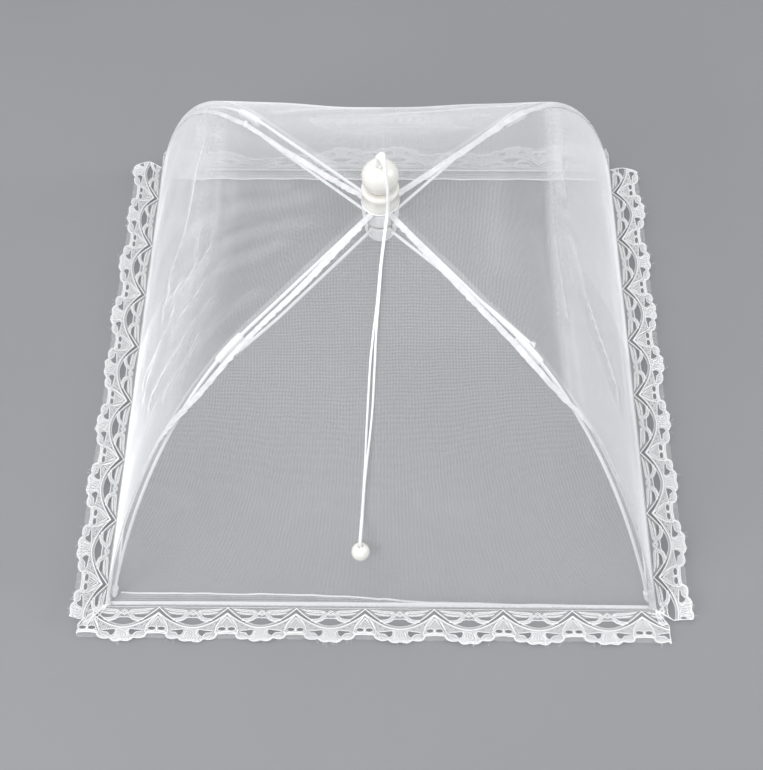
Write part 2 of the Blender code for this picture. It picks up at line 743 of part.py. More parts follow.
def cord_route(side):
    """The hand-set points of one strand. Side is -1 for the left strand and 1 for the right."""
    top_spread = CORD_ON_PANEL[0][2]
    points = [
        Vector((x + side * top_spread, y, BALL_CENTRE + up)) for x, y, up in CORD_OVER_KNOB
    ]
    lengths = run_lengths(PANEL_PROFILE)
    last_share = CORD_ON_PANEL[-1][1]
    row_shares = [run / lengths[-1] for run in lengths]
    crossed = [share for share in row_shares if CORD_ON_PANEL[0][1] < share < last_share]
    for run_share in (CORD_ON_PANEL[0][1], *crossed, last_share):
        x, spread = cord_place(run_share)
        points.append(panel_point(run_share, x + side * spread, CORD_RADIUS + CORD_GAP)[0])
    middle, down, _ = bead_frame()
    shift = Vector((side * top_spread, 0, 0))
    points.append(middle - down * (2 * BEAD_RADIUS) + shift)
    points.append(middle - down * BEAD_RADIUS + shift)
    points.append(middle + down * BEAD_RADIUS / 2 + shift)
    return points


def smooth_line(points, step):
    """Points at even steps along a smooth curve through the given points."""
    dense = []
    padded = [2 * points[0] - points[1], *points, 2 * points[-1] - points[-2]]
    for before, first, second, after in zip(padded, padded[1:], padded[2:], padded[3:]):
        for part in range(16):
            t = part / 16
            dense.append(0.5 * (
                2 * first + (second - before) * t
                + (2 * before - 5 * first + 4 * second - after) * t**2
                + (3 * first - before - 3 * second + after) * t**3
            ))
    dense.append(points[-1])
    lengths = run_lengths(dense)
    count = max(2, round(lengths[-1] / step))
    line = []
    index = 0
    for part in range(count + 1):
        run = lengths[-1] * part / count
        while index < len(lengths) - 2 and lengths[index + 1] < run:
            index += 1
        share = (run - lengths[index]) / (lengths[index + 1] - lengths[index])
        line.append(dense[index].lerp(dense[index + 1], share))
    return line


def add_strand(node, side):
    curve = bpy.data.curves.new(node, "CURVE")
    curve.dimensions = "3D"
    curve.bevel_depth = CORD_RADIUS
    curve.bevel_resolution = 2
    curve.use_fill_caps = True
    line = smooth_line(cord_route(side), CORD_STEP)
    strand = curve.splines.new("POLY")
    strand.points.add(len(line) - 1)
    for place, point in zip(strand.points, line):
        place.co = (*point, 1)
    made = bpy.data.objects.new(node, curve)
    bpy.context.collection.objects.link(made)
    curve.materials.append(material(node, "cord"))


# The whole cover

def build_hub():
    add("crown", crown_mesh(), "plastic")
    add("crown_ring", wire_ring(CROWN_RING_RADIUS), "bare_wire", location=(0, 0, CROWN_PIVOT.z))
    add("runner", runner_mesh(), "plastic")
    add("runner_ring", wire_ring(RUNNER_RING_RADIUS), "bare_wire", location=(0, 0, RUNNER_PIVOT.z))
    add("clamp_washer", washer_mesh(), "plastic")
    add("knob_barrel", barrel_mesh(), "plastic")
    ball = bored_ball(BALL_RADIUS, BALL_FLAT_RADIUS, CORD_BORE * 1.5, CORD_BORE)
    add("knob_ball", ball, "plastic", location=(0, 0, BALL_CENTRE))


def build_frame():
    """The four ribs and stretchers. The pieces of a moving body hang from an empty on its pivot."""
    on_rib = {"rib": rib_mesh(), "tip": tip_mesh(), "sleeve": sleeve_mesh()}
    finishes = {"rib": "coated_wire", "tip": "plastic", "sleeve": "plastic"}
    seam = seam_mesh()
    seam.transform(Matrix.Translation(-CROWN_PIVOT))
    stretcher = stretcher_mesh()
    rivet = rivet_mesh()
    for corner, turn in CORNERS.items():
        rib_pivot = add_pivot(f"rib_pivot_{corner}", CROWN_PIVOT, turn)
        for piece, mesh in on_rib.items():
            add(f"{piece}_{corner}", mesh, finishes[piece], rib_pivot)
        add(f"seam_{corner}", seam, "tape", rib_pivot)
        stretcher_pivot = add_pivot(f"stretcher_pivot_{corner}", RUNNER_PIVOT, turn)
        add(f"stretcher_{corner}", stretcher, "coated_wire", stretcher_pivot)
        add(f"rivet_{corner}", rivet, "bare_wire", stretcher_pivot)


def build_cloth():
    panel = panel_mesh()
    hem = hem_mesh()
    lace = lace_mesh()
    for index, side in enumerate(SIDES):
        add(f"panel_{side}", panel, "mesh", turn=90.0 * index)
        add(f"hem_{side}", hem, "tape", turn=90.0 * index)
        add(f"lace_{side}", lace, "lace", turn=90.0 * index)


def build_cord():
    """The cord inside the hub, its stop knot, the two strands outside and the bead."""
    low = RUNNER_LOW - CLEARANCE
    high = BALL_CENTRE + CORD_OVER_KNOB[0][2] - CLEARANCE
    levels = [low + (high - low) * step / LIFT_CORD_STEPS for step in range(LIFT_CORD_STEPS + 1)]
    lift_cord = turned([(LIFT_CORD_RADIUS, level) for level in levels], wrap=False, sides=8)
    add("lift_cord", lift_cord, "cord")
    knot = turned([
        (KNOT_RADIUS * math.sin(math.pi * step / 8), -KNOT_RADIUS * math.cos(math.pi * step / 8))
        for step in range(1, 8)
    ], wrap=False, sides=12)
    knot_place = low - CLEARANCE - KNOT_RADIUS * math.cos(math.pi / 8)
    add("cord_knot", knot, "cord", location=(0, 0, knot_place))
    add_strand("pull_cord_left", -1)
    add_strand("pull_cord_right", 1)
    middle, down, _ = bead_frame()
    pivot = add_pivot("bead_pivot", (0, -BEAD_PIVOT_SIDE, BEAD_PIVOT_HEIGHT), 0)
    bead = bored_ball(BEAD_RADIUS, BEAD_FLAT_RADIUS, BEAD_FLAT_RADIUS, BEAD_BORE, sides=16)
    made = add("bead", bead, "plastic", pivot, middle - pivot.location)
    made.rotation_euler = (-down).to_track_quat("Z", "X").to_euler()


clear_scene()
build_hub()
build_frame()
build_cloth()
build_cord()
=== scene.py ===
"""Looks of a square pop-up food cover: fine white net on four bowed ribs, a lace edge, a round knob
and a pull cord with a bead.

Everything is in metres in the frame of the solids: +Z up, the front faces -Y, and the middle of the
hem square lies on the table at zero. Tables of points are in millimetres, and those of the lace in
shares of its repeat. Cloth is drawn for the front, in its flat cut (across, run down from the hub), and
turned for the other sides. Corner pieces are drawn with +X out along the rib.
"""
import math
import random

import bpy
import numpy as np
from mathutils import Matrix, Vector


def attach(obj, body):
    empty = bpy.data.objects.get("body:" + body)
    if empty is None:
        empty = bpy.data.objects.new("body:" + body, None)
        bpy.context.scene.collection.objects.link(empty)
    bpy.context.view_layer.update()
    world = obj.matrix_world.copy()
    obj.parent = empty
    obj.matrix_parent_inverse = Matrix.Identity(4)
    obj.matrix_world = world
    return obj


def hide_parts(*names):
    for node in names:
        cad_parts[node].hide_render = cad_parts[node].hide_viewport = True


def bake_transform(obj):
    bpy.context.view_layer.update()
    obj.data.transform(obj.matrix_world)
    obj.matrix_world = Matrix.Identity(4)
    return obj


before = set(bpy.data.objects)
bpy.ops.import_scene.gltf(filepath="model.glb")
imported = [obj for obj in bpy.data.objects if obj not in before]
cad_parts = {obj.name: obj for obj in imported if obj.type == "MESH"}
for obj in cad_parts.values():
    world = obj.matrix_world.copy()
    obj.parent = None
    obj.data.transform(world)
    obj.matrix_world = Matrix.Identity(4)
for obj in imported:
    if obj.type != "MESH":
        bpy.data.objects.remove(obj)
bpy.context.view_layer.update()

MM = 0.001
SIDES = ("front", "right", "back", "left")
CORNERS = ("front_right", "back_right", "back_left", "front_left")
CORNER_TURNS = (-45.0, 45.0, 135.0, -135.0)
HALF = 175.0
HEM_HALF = HALF / 1000


# The camera of the photograph

def set_camera():
    azimuth, elevation, roll = map(math.radians, (1.632, 62.735, -1.0997))
    target, distance = Vector((-0.00091, -0.01503, 0)), 0.76028
    level = math.cos(elevation)
    back = Vector((math.sin(azimuth) * level, -math.cos(azimuth) * level, math.sin(elevation)))
    right = Vector((math.cos(azimuth), math.sin(azimuth), 0))
    up = back.cross(right)
    rolled_right = math.cos(roll) * right + math.sin(roll) * up
    rolled_up = math.cos(roll) * up - math.sin(roll) * right
    lens = bpy.data.cameras.new("camera")
    lens.lens = 50.48
    lens.clip_start = 0.01
    camera = bpy.data.objects.new("camera", lens)
    axes = Matrix((rolled_right, rolled_up, back)).transposed()
    camera.matrix_world = Matrix.Translation(target + back * distance) @ axes.to_4x4()
    bpy.context.collection.objects.link(camera)
    bpy.context.scene.camera = camera


set_camera()


# Materials

class Shade:
    """A value on its way through a material. Arithmetic on it adds Math nodes."""

    def __init__(self, finish, socket):
        self.finish = finish
        self.socket = socket

    def maths(self, operation, *values):
        return self.finish.node("ShaderNodeMath", {"operation": operation}, dict(enumerate(values)))

    def __add__(self, other):
        return self.maths("ADD", self, other)

    def __mul__(self, other):
        return self.maths("MULTIPLY", self, other)

    __radd__ = __add__
    __rmul__ = __mul__

    def smaller(self, other):
        return self.maths("MINIMUM", self, other)


class Finish:
    """One material: its shader, and the nodes that feed it."""

    def __init__(self, name, **fixed):
        self.material = bpy.data.materials.new(name)
        self.material.use_nodes = True
        self.tree = self.material.node_tree
        self.shader = self.tree.nodes["Principled BSDF"]
        for label, value in fixed.items():
            self.shader.inputs[label.replace("_", " ")].default_value = value

    def node(self, kind, settings=None, links=None, out=0):
        made = self.tree.nodes.new(kind)
        for key, value in (settings or {}).items():
            setattr(made, key, value)
        for key, value in (links or {}).items():
            self.feed(made.inputs[key], value)
        return Shade(self, made.outputs[out])

    def feed(self, socket, value):
        if isinstance(value, Shade):
            self.tree.links.new(value.socket, socket)
        else:
            socket.default_value = value

    def give(self, **links):
        for label, value in links.items():
            self.feed(self.shader.inputs[label.replace("_", " ")], value)
        return self.material

    def place(self):
        return self.node("ShaderNodeTexCoord", out=3)

    def marked(self, name):
        return self.node("ShaderNodeAttribute", {"attribute_name": name}, out=2)

    def noise(self, scale, detail=3.0, roughness=0.55, stretch=None):
        place = self.place()
        if stretch:
            place = self.node("ShaderNodeVectorMath", {"operation": "MULTIPLY"}, {0: place, 1: stretch})
        links = {"Vector": place, "Scale": scale, "Detail": detail, "Roughness": roughness}
        return self.node("ShaderNodeTexNoise", {"noise_dimensions": "3D"}, links)

    def ease(self, value, low, high, start, end):
        """The value's way from low to high, smoothly, as start to end."""
        links = {"Value": value, "From Min": low, "From Max": high, "To Min": start, "To Max": end}
        return self.node("ShaderNodeMapRange", {"interpolation_type": "SMOOTHSTEP"}, links)

    def blend(self, share, first, second):
        made = self.tree.nodes.new("ShaderNodeMix")
        made.data_type = "RGBA"
        self.feed(made.inputs[0], share)
        for index, colour in ((6, first), (7, second)):
            self.feed(made.inputs[index], colour if isinstance(colour, Shade) else (*colour, 1.0))
        return Shade(self, made.outputs[2])

    def bump(self, height, strength, distance=0.0003):
        links = {"Height": height, "Strength": strength, "Distance": distance}
        return self.node("ShaderNodeBump", None, links)


def net_thread():
    finish = Finish("net_thread", Roughness=0.6, Sheen_Weight=0.25, Specular_IOR_Level=0.3)
    worn = finish.noise(90.0)
    return finish.give(Base_Color=finish.blend(worn, (0.93, 0.93, 0.94), (0.98, 0.98, 0.985)))


def net_veil():
    """The light that the net's own knots and fuzz hold: thin, cloudy and thicker along its edges."""
    finish = Finish("net_veil", Roughness=0.7, Sheen_Weight=0.15, Specular_IOR_Level=0.2)
    density = finish.marked("veiling")
    clouds = finish.noise(22.0, 4.0)
    grain = finish.noise(900.0, 2.0)
    held = density * (0.72 + 0.34 * clouds + 0.34 * grain)
    finish.give(Base_Color=finish.blend(clouds, (0.95, 0.95, 0.96), (0.98, 0.98, 0.985)))
    return finish.give(Alpha=held.smaller(1.0))


def hem_cloth():
    finish = Finish("hem_cloth", Roughness=0.75, Sheen_Weight=0.3, Specular_IOR_Level=0.3)
    folds = finish.noise(260.0, 3.0, stretch=(0.35, 0.35, 1.0))
    weave = finish.noise(1500.0, 1.0)
    colour = finish.blend(folds, (0.92, 0.92, 0.922), (0.98, 0.98, 0.98))
    return finish.give(Base_Color=colour, Normal=finish.bump(folds + weave * 0.4, 0.5))


def tape_cloth():
    finish = Finish("tape_cloth", Roughness=0.8, Sheen_Weight=0.3, Specular_IOR_Level=0.3)
    crease = finish.noise(420.0, 4.0, 0.65)
    broad = finish.noise(110.0, 2.0)
    # The colour darkens where the crease height is low: partly random tone, partly painted shade in the
    # crinkles' troughs
    colour = finish.blend(crease * broad * 2.4, (0.56, 0.56, 0.57), (0.80, 0.79, 0.80))
    return finish.give(Base_Color=colour, Normal=finish.bump(crease, 0.8, 0.0005))


def lace_thread():
    finish = Finish("lace_thread", Roughness=0.8, Sheen_Weight=0.25, Specular_IOR_Level=0.3)
    fuzz = finish.noise(700.0, 3.0, 0.7)
    broad = finish.noise(60.0)
    colour = finish.blend(broad * 0.5 + fuzz * 0.5, (0.86, 0.86, 0.855), (0.97, 0.97, 0.965))
    return finish.give(Base_Color=colour, Normal=finish.bump(fuzz, 0.6, 0.0002))


def cord_yarn():
    finish = Finish("cord_yarn", Roughness=0.72, Sheen_Weight=0.3, Specular_IOR_Level=0.35)
    fuzz = finish.noise(1600.0, 3.0, 0.7)
    colour = finish.blend(fuzz, (0.90, 0.90, 0.885), (0.98, 0.98, 0.97))
    return finish.give(Base_Color=colour, Normal=finish.bump(fuzz, 0.5, 0.0001))


def wire_coat():
    finish = Finish("wire_coat", Roughness=0.35, Coat_Weight=0.6, Coat_Roughness=0.25)
    runs = finish.noise(240.0, 3.0)
    colour = finish.blend(runs, (0.96, 0.965, 0.97), (0.99, 0.99, 0.99))
    rough = finish.ease(runs, 0.3, 0.7, 0.26, 0.42)
    return finish.give(Base_Color=colour, Roughness=rough, Normal=finish.bump(runs, 0.15))


def moulded(name, low, high, rough, coat, depth=0.12):
    """Moulded plastic: a faint cloud in the colour, and a skin that isn't quite even."""
    finish = Finish(name, Coat_Weight=coat, Coat_Roughness=0.12, Subsurface_Weight=0.15,
                    Subsurface_Radius=(0.004, 0.004, 0.0035), Subsurface_Scale=1.0)
    cloud = finish.noise(130.0, 3.0)
    scuff = finish.noise(900.0, 4.0, 0.7, stretch=(1.0, 1.0, 0.35))
    return finish.give(Base_Color=finish.blend(cloud, low, high),
                       Roughness=finish.ease(scuff, 0.3, 0.75, rough, rough + 0.16),
                       Normal=finish.bump(cloud + scuff * 0.2, depth))


def pin_metal():
    finish = Finish("pin_metal", Metallic=1.0, Specular_IOR_Level=0.5)
    scratch = finish.noise(700.0, 4.0, 0.7, stretch=(1.0, 1.0, 0.2))
    colour = finish.blend(scratch, (0.72, 0.72, 0.73), (0.86, 0.86, 0.87))
    return finish.give(Base_Color=colour, Roughness=finish.ease(scratch, 0.2, 0.8, 0.24, 0.5))


def table_top():
    finish = Finish("table_top", Roughness=0.9, Specular_IOR_Level=0.2)
    grain = finish.noise(6.0, 5.0)
    return finish.give(Base_Color=finish.blend(grain, (0.262, 0.267, 0.272), (0.282, 0.287, 0.292)))


FINISHES = {
    "net": net_thread(),
    "veil": net_veil(),
    "hem": hem_cloth(),
    "tape": tape_cloth(),
    "lace": lace_thread(),
    "yarn": cord_yarn(),
    "wire": wire_coat(),
    "knob": moulded("knob_plastic", (0.82, 0.80, 0.745), (0.87, 0.855, 0.81), 0.16, 0.5),
    "hub": moulded("hub_plastic", (0.93, 0.93, 0.92), (0.98, 0.98, 0.97), 0.34, 0.1),
    "clip": moulded("clip_plastic", (0.95, 0.95, 0.95), (0.99, 0.99, 0.985), 0.30, 0.4),
    "pin": pin_metal(),
}


# Meshes: threads, wires and sheets gathered into one piece

def unit(vectors):
    return vectors / np.maximum(np.linalg.norm(vectors, axis=-1, keepdims=True), 1e-12)


def circle(count, shift=0.0):
    """Angles at even steps round a full turn."""
    return 2 * math.pi * (np.arange(count) + shift) / count


def hoops(centres, first, second, turns):
    """A ring of points round each centre, on its two half axes."""
    return (centres[:, None, :] + first[:, None, :] * np.cos(turns)[None, :, None]
            + second[:, None, :] * np.sin(turns)[None, :, None])


def lengths_along(line):
    return np.concatenate([[0.0], np.cumsum(np.linalg.norm(np.diff(line, axis=0), axis=1))])


def resampled(line, step):
    """A line's points at even steps, on a smooth curve through them."""
    line = np.asarray(line, float)
    padded = np.vstack([2 * line[0] - line[1], line, 2 * line[-1] - line[-2]])
    fine = []
    for index in range(len(line) - 1):
        a, b, c, d = padded[index:index + 4]
        for t in np.linspace(0, 1, 12, endpoint=False):
            fine.append(0.5 * (2 * b + (c - a) * t + (2 * a - 5 * b + 4 * c - d) * t**2
                               + (3 * b - a - 3 * c + d) * t**3))
    fine = np.array([*fine, line[-1]])
    reach = lengths_along(fine)
    count = max(2, int(round(reach[-1] / step)) + 1)
    places = np.linspace(0, reach[-1], count)
    return np.stack([np.interp(places, reach, fine[:, axis]) for axis in range(3)], axis=1)


def carried_normals(line, first):
    """Normals carried along a line from its first one, with no twist."""
    tangents = unit(np.gradient(line, axis=0))
    normal = np.asarray(first, float)
    normals = []
    for tangent in tangents:
        normal = normal - tangent * normal.dot(tangent)
        normal = normal / np.linalg.norm(normal)
        normals.append(normal)
    return np.array(normals)


class Skein:
    """Rings and grids of points, joined into one mesh."""

    def __init__(self):
        self.points = []
        self.faces = []
        self.marks = {}
        self.count = 0

    def hold(self, points, **marks):
        index = self.count + np.arange(len(points))
        self.points.append(points)
        self.count += len(points)
        for name, values in marks.items():
            self.marks.setdefault(name, []).append(np.broadcast_to(values, len(points)))
        return index

    def rings(self, rings, wrap=False, ends=True):
        """Rings of equal counts, joined into a tube; wrap joins the last ring to the first."""
        steps, sides = rings.shape[:2]
        index = self.hold(rings.reshape(-1, 3)).reshape(steps, sides)
        if wrap:
            index = np.vstack([index, index[:1]])
        after = np.roll(index, -1, axis=1)
        quads = np.stack([index[:-1], after[:-1], after[1:], index[1:]], axis=-1)
        self.faces.extend(quads.reshape(-1, 4).tolist())
        if ends and not wrap:
            self.faces.append(index[0][::-1].tolist())
            self.faces.append(index[-1].tolist())

    def strand(self, line, normals, width, height=None, sides=4, ends=True, ply=0.0, pitch=1.0):
        """A tube along a line. Half the width lies across the normals, half the height along them."""
        line = np.asarray(line, float)
        tangents = unit(np.gradient(line, axis=0))
        up = np.broadcast_to(normals, line.shape)
        up = unit(up - tangents * (up * tangents).sum(1, keepdims=True))
        across = np.cross(up, tangents)
        turns = circle(sides, 0.5)
        width = np.broadcast_to(width, len(line))[:, None, None]
        height = width if height is None else np.broadcast_to(height, len(line))[:, None, None]
        swell = np.ones((len(line), sides))
        if ply:
            turned = lengths_along(line)[:, None] / pitch * 2 * math.pi
            swell = 1 - ply + ply * np.abs(np.cos(1.5 * (turns[None, :] - turned)))
        swell = swell[:, :, None]
        rings = line[:, None, :] + swell * width * across[:, None, :] * np.cos(turns)[None, :, None]
        rings = rings + swell * height * up[:, None, :] * np.sin(turns)[None, :, None]
        self.rings(rings, ends=ends)

    def sheet(self, grid, **marks):
        """A single layer over a grid of points (rows, columns, 3)."""
        rows, columns = grid.shape[:2]
        flat = {name: np.asarray(values).reshape(-1) for name, values in marks.items()}
        index = self.hold(grid.reshape(-1, 3), **flat).reshape(rows, columns)
        quads = np.stack([index[:-1, :-1], index[:-1, 1:], index[1:, 1:], index[1:, :-1]], axis=-1)
        self.faces.extend(quads.reshape(-1, 4).tolist())

    def lathe(self, profile, sides):
        """A turned piece about Z from (radius, height) points that run round its section."""
        turns = circle(sides)
        rings = [
            np.stack([radius * np.cos(turns), radius * np.sin(turns), np.full(sides, height)], axis=1)
            for radius, height in profile
        ]
        self.rings(np.array(rings), wrap=True)

    def piece(self, name, finish, turn=0.0, shift=(0, 0, 0), sharp=60.0):
        mesh = bpy.data.meshes.new(name)
        mesh.from_pydata(np.concatenate(self.points).tolist(), [], self.faces)
        for mark, values in self.marks.items():
            layer = mesh.attributes.new(mark, "FLOAT", "POINT")
            layer.data.foreach_set("value", np.concatenate(values).astype(np.float32))
        mesh.transform(Matrix.Rotation(math.radians(turn), 4, "Z") @ Matrix.Translation(shift))
        mesh.shade_smooth()
        mesh.set_sharp_from_angle(angle=math.radians(sharp))
        mesh.materials.append(FINISHES[finish])
        made = bpy.data.objects.new(name, mesh)
        bpy.context.collection.objects.link(made)
        return made


def dress(piece, body, slot, *nodes):
    """The piece rides on its body, and stands for the solids it hides."""
    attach(piece, body)
    if nodes:
        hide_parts(*nodes)
    return piece


# The pull cord: two strands from the knob's top, over its shoulder and down the front to the bead

# Each point's x on the left strand, x on the right one, y and height
ROUTE = (
    (-0.80, 0.80, 0.00, 223.68), (-0.80, 0.80, 0.00, 226.98), (-0.70, 0.90, -0.30, 229.68),
    (0.20, 1.80, -2.20, 232.48), (1.20, 2.80, -4.80, 232.08), (1.90, 3.50, -6.60, 229.28),
    (2.40, 4.00, -7.80, 225.48), (2.90, 4.50, -9.10, 221.08), (3.30, 4.90, -10.30, 216.98),
    (3.50, 5.10, -10.70, 212.48), (3.50, 5.10, -11.00, 207.48), (3.40, 5.00, -11.20, 201.98),
    (3.10, 4.70, -12.10, 197.48), (2.60, 4.20, -15.00, 194.38), (1.80, 3.40, -20.60, 190.61),
    (-0.11, 1.50, -37.97, 185.90), (-1.56, 0.14, -56.72, 180.56), (-3.40, -1.35, -75.28, 175.16),
    (-4.33, -2.01, -85.67, 170.00), (-5.16, -2.59, -95.64, 162.03), (-5.91, -3.29, -105.28, 151.53),
    (-6.76, -4.58, -114.67, 138.75), (-7.83, -6.06, -123.92, 123.99), (-9.11, -7.51, -133.08, 107.49),
    (-10.38, -8.78, -142.16, 89.48), (-10.60, -9.00, -143.71, 86.08), (-11.90, -10.30, -154.90, 74.19),
    (-11.90, -10.30, -156.80, 69.02), (-11.90, -10.30, -159.66, 61.28),
)
LEFT_ROUTE, RIGHT_ROUTE = (np.array([(row[hand], *row[2:]) for row in ROUTE]) for hand in (0, 1))
CORD_RADIUS = 0.65 * MM
BEAD_PLACE = Vector((-11.1, -158.7, 63.9)) * MM
BEAD_DOWN = Vector((0, -0.3459, -0.9383))
LIFT_FOOT, LIFT_TOP = 0.1594, 0.2236
# The strands swell where they arch over the knob: how far along, over what reach, and by how much
BUNCH_PLACE, BUNCH_REACH, BUNCH_SWELL = 7.6 * MM, 4.8 * MM, 2.4
# Where the two strands lie on each other and look like one, point by point along the routes
CLOSENESS = np.array([0, 0.2, 0.6, *[1.0] * 13, 0.8, 0.35, *[0.0] * 4, 0.5, *[1.0] * 4, 0.8, 0.6])


def laid_close(route, other, over):
    """A strand that leans to the other one, and lies over it, where they run as one."""
    fall = unit(np.gradient(route, axis=0))
    outward = unit(np.stack([0 * fall[:, 0], fall[:, 2], -fall[:, 1]], axis=1))
    return route + CLOSENESS[:, None] * (0.32 * (other - route) + over * outward)


def pull_cord(name, route):
    line = resampled(route * MM, 0.0008)
    skein = Skein()
    bunch = np.exp(-((lengths_along(line) - BUNCH_PLACE) / BUNCH_REACH) ** 2)
    skein.strand(line, carried_normals(line, (1, 0, 0)), CORD_RADIUS * (1 + BUNCH_SWELL * bunch),
                 sides=12, ply=0.13, pitch=0.0042)
    cord = skein.piece(name, "yarn")
    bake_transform(cord)
    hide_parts(name.removesuffix("_strand"))
    return cord, [tuple(point) for point in [*line[:-1:6], line[-1]]]


BORE_EDGE = 0.3 * MM


def round_profile(radius, flat, bore, steps, seam):
    """A ball's (radius, height) points between its two flats, with a mould seam round its middle."""
    end = math.sqrt(radius**2 - flat**2)
    edge = math.asin(end / radius)
    profile = [(bore, end - BORE_EDGE), (bore + BORE_EDGE, end)]
    for turn in np.linspace(edge, -edge, steps):
        proud = seam * math.exp(-(turn * radius / (0.12 * MM)) ** 2)
        profile.append(((radius + proud) * math.cos(turn), radius * math.sin(turn)))
    return [*profile, (bore + BORE_EDGE, -end), (bore, BORE_EDGE - end)]


def pull_bead():
    skein = Skein()
    profile = round_profile(5.5 * MM, 2.6 * MM, 1.25 * MM, 41, 0.05 * MM)
    skein.lathe([(radius, height * 1.05) for radius, height in profile], 48)
    bead = skein.piece("bead_turned", "knob")
    turn = Vector((0, 0, -1)).rotation_difference(BEAD_DOWN).to_matrix().to_4x4()
    bead.data.transform(Matrix.Translation(BEAD_PLACE) @ turn)
    return dress(bead, "pull_bead", "white_plastic", "bead")


def cords():
    bead = pull_bead()
    for name, route in (("pull_cord_left_strand", laid_close(LEFT_ROUTE, RIGHT_ROUTE, 0.0)),
                        ("pull_cord_right_strand", laid_close(RIGHT_ROUTE, LEFT_ROUTE, 0.9))):
        cord, path = pull_cord(name, route)
    skein = Skein()
    line = np.array([(0, 0, height) for height in np.arange(LIFT_FOOT, LIFT_TOP, 0.0008)])
    skein.strand(line, (1, 0, 0), 1.45 * MM, sides=12, ply=0.2, pitch=0.0065)
    lift = skein.piece("lift_cord_twisted", "yarn")
    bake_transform(lift)
    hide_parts("lift_cord")


cords()


# The cloth: its side profile, its sag and its folds, in the flat cut

def side_profile():
    """(half side, height) points from the hub's hole to the table. The ribs stand on the diagonals."""
    root = math.sqrt(2)
    start, end = np.array([107, 176]) * MM, np.array([2 * HALF / root, 0]) * MM
    hole, rim, top = 4.2 * MM, 9.5 * MM, 192.3 * MM
    points = [(hole, top), (rim, top)]
    for share in np.linspace(0.1, 1, 10):
        points.append((rim + (start[0] / root - rim) * share, top + (start[1] - top) * share))
    first = start + 60 * MM * np.array([math.cos(math.radians(12)), -math.sin(math.radians(12))])
    second = end + 90 * MM * np.array([-math.cos(math.radians(68)), math.sin(math.radians(68))])
    for share in np.linspace(0, 1, 90)[1:]:
        rest = 1 - share
        point = (rest**3 * start + 3 * rest**2 * share * first
                 + 3 * rest * share**2 * second + share**3 * end)
        points.append((point[0] / root, point[1]))
    return np.array(points)


PROFILE = side_profile()
RUNS = lengths_along(PROFILE)
FULL_RUN = RUNS[-1]
FALLS = unit(np.gradient(PROFILE, RUNS, axis=0))
CLAMP_RUN = 5.0 * MM
SAG = 4.0 * MM
SAG_RUN = 0.2747
WAVES = 0.28 * MM
# Folds as (side, ridge height, half width) and (across, run) points, all in millimetres
FOLDS = (
    ("left", 1.70, 6.4, ((-98, 124), (-80, 112), (-60, 125.5), (-45, 130), (-21, 139), (0, 160))),
    ("left", 1.30, 5.4, ((-80, 98), (-68, 92.5), (-38, 94.5), (-13, 95), (6, 99.7), (14, 108), (22, 130))),
    ("left", 0.90, 4.6, ((-8, 116), (8, 117.5), (24, 122))),
    ("left", 1.35, 5.6, ((15, 168), (18, 149), (19.4, 111), (13.3, 98.8), (11.2, 83), (9.1, 63), (9, 40))),
    ("left", 1.20, 5.2, ((45, 140), (39.4, 113), (30.3, 101.5), (27.3, 86.4), (25.5, 69), (20, 52))),
    ("left", 1.10, 7.0, ((60, 190), (48, 165), (38, 150), (20, 141))),
    ("left", 0.95, 4.6, ((52, 66), (56, 74), (71, 98), (86, 118), (91, 134))),
    ("left", 0.95, 4.6, ((50, 96), (57, 110), (67, 126), (74, 150), (80, 170))),
    ("left", 0.80, 4.8, ((28, 128), (33, 144), (42, 164), (46, 186), (50, 205))),
    ("left", 0.85, 4.2, ((11, 86), (30, 89), (48, 94), (62, 99), (73, 104))),
    ("right", 1.72, 4.8, ((92, 103), (79, 100.5), (56, 100.8), (21, 102.6), (-28, 106), (-52, 108))),
    ("right", 1.26, 4.1, ((100, 119), (78, 118.5), (64, 118), (40, 120))),
    ("right", 1.03, 8.5, ((30, 63), (20, 63), (-4, 62), (-16, 62))),
    ("right", 1.03, 5.1, ((-60, 190), (-40, 160), (-20, 140), (10, 128))),
    ("back", 1.49, 4.4, ((30, 60), (11.7, 57.7), (-23.6, 54), (-59, 55))),
    ("back", 1.38, 4.4, ((40, 68), (19, 69.6), (-16.6, 76), (-82, 84), (-100, 96))),
    ("back", 0.92, 3.7, ((10, 64), (-3.6, 62.7), (-52, 59))),
    ("back", 1.03, 6.8, ((70, 160), (40, 140), (0, 128), (-40, 136))),
    ("front", 0.57, 2.2, ((-12, 7), (-16, 22), (-19, 34))),
    ("front", 0.57, 2.2, ((9, 7), (15, 20), (22, 36))),
    ("front", 0.4, 1.9, ((-5, 8), (-8, 20), (-10, 30))),
    ("front", 0.4, 9.6, ((60, 190), (20, 175), (-40, 178))),
)


def half_side(run):
    return np.interp(run, RUNS, PROFILE[:, 0])


def run_at(half):
    return np.interp(half, PROFILE[:, 0], RUNS)


def distance_to(line, across, run):
    """How far each point of the cut lies from a line drawn on it."""
    nearest = np.full(across.shape, 1.0)
    for (x0, r0), (x1, r1) in zip(line, line[1:]):
        dx, dr = x1 - x0, r1 - r0
        share = np.clip(((across - x0) * dx + (run - r0) * dr) / (dx * dx + dr * dr), 0, 1)
        nearest = np.minimum(nearest, np.hypot(across - x0 - share * dx, run - r0 - share * dr))
    return nearest


def fold_lines(side, across, run):
    """A side's folds: each one's height, and how many of its half widths each point lies away."""
    for where, rise, reach, line in FOLDS:
        if where == side:
            yield rise, distance_to(np.array(line) * MM, across, run) / (reach * MM)


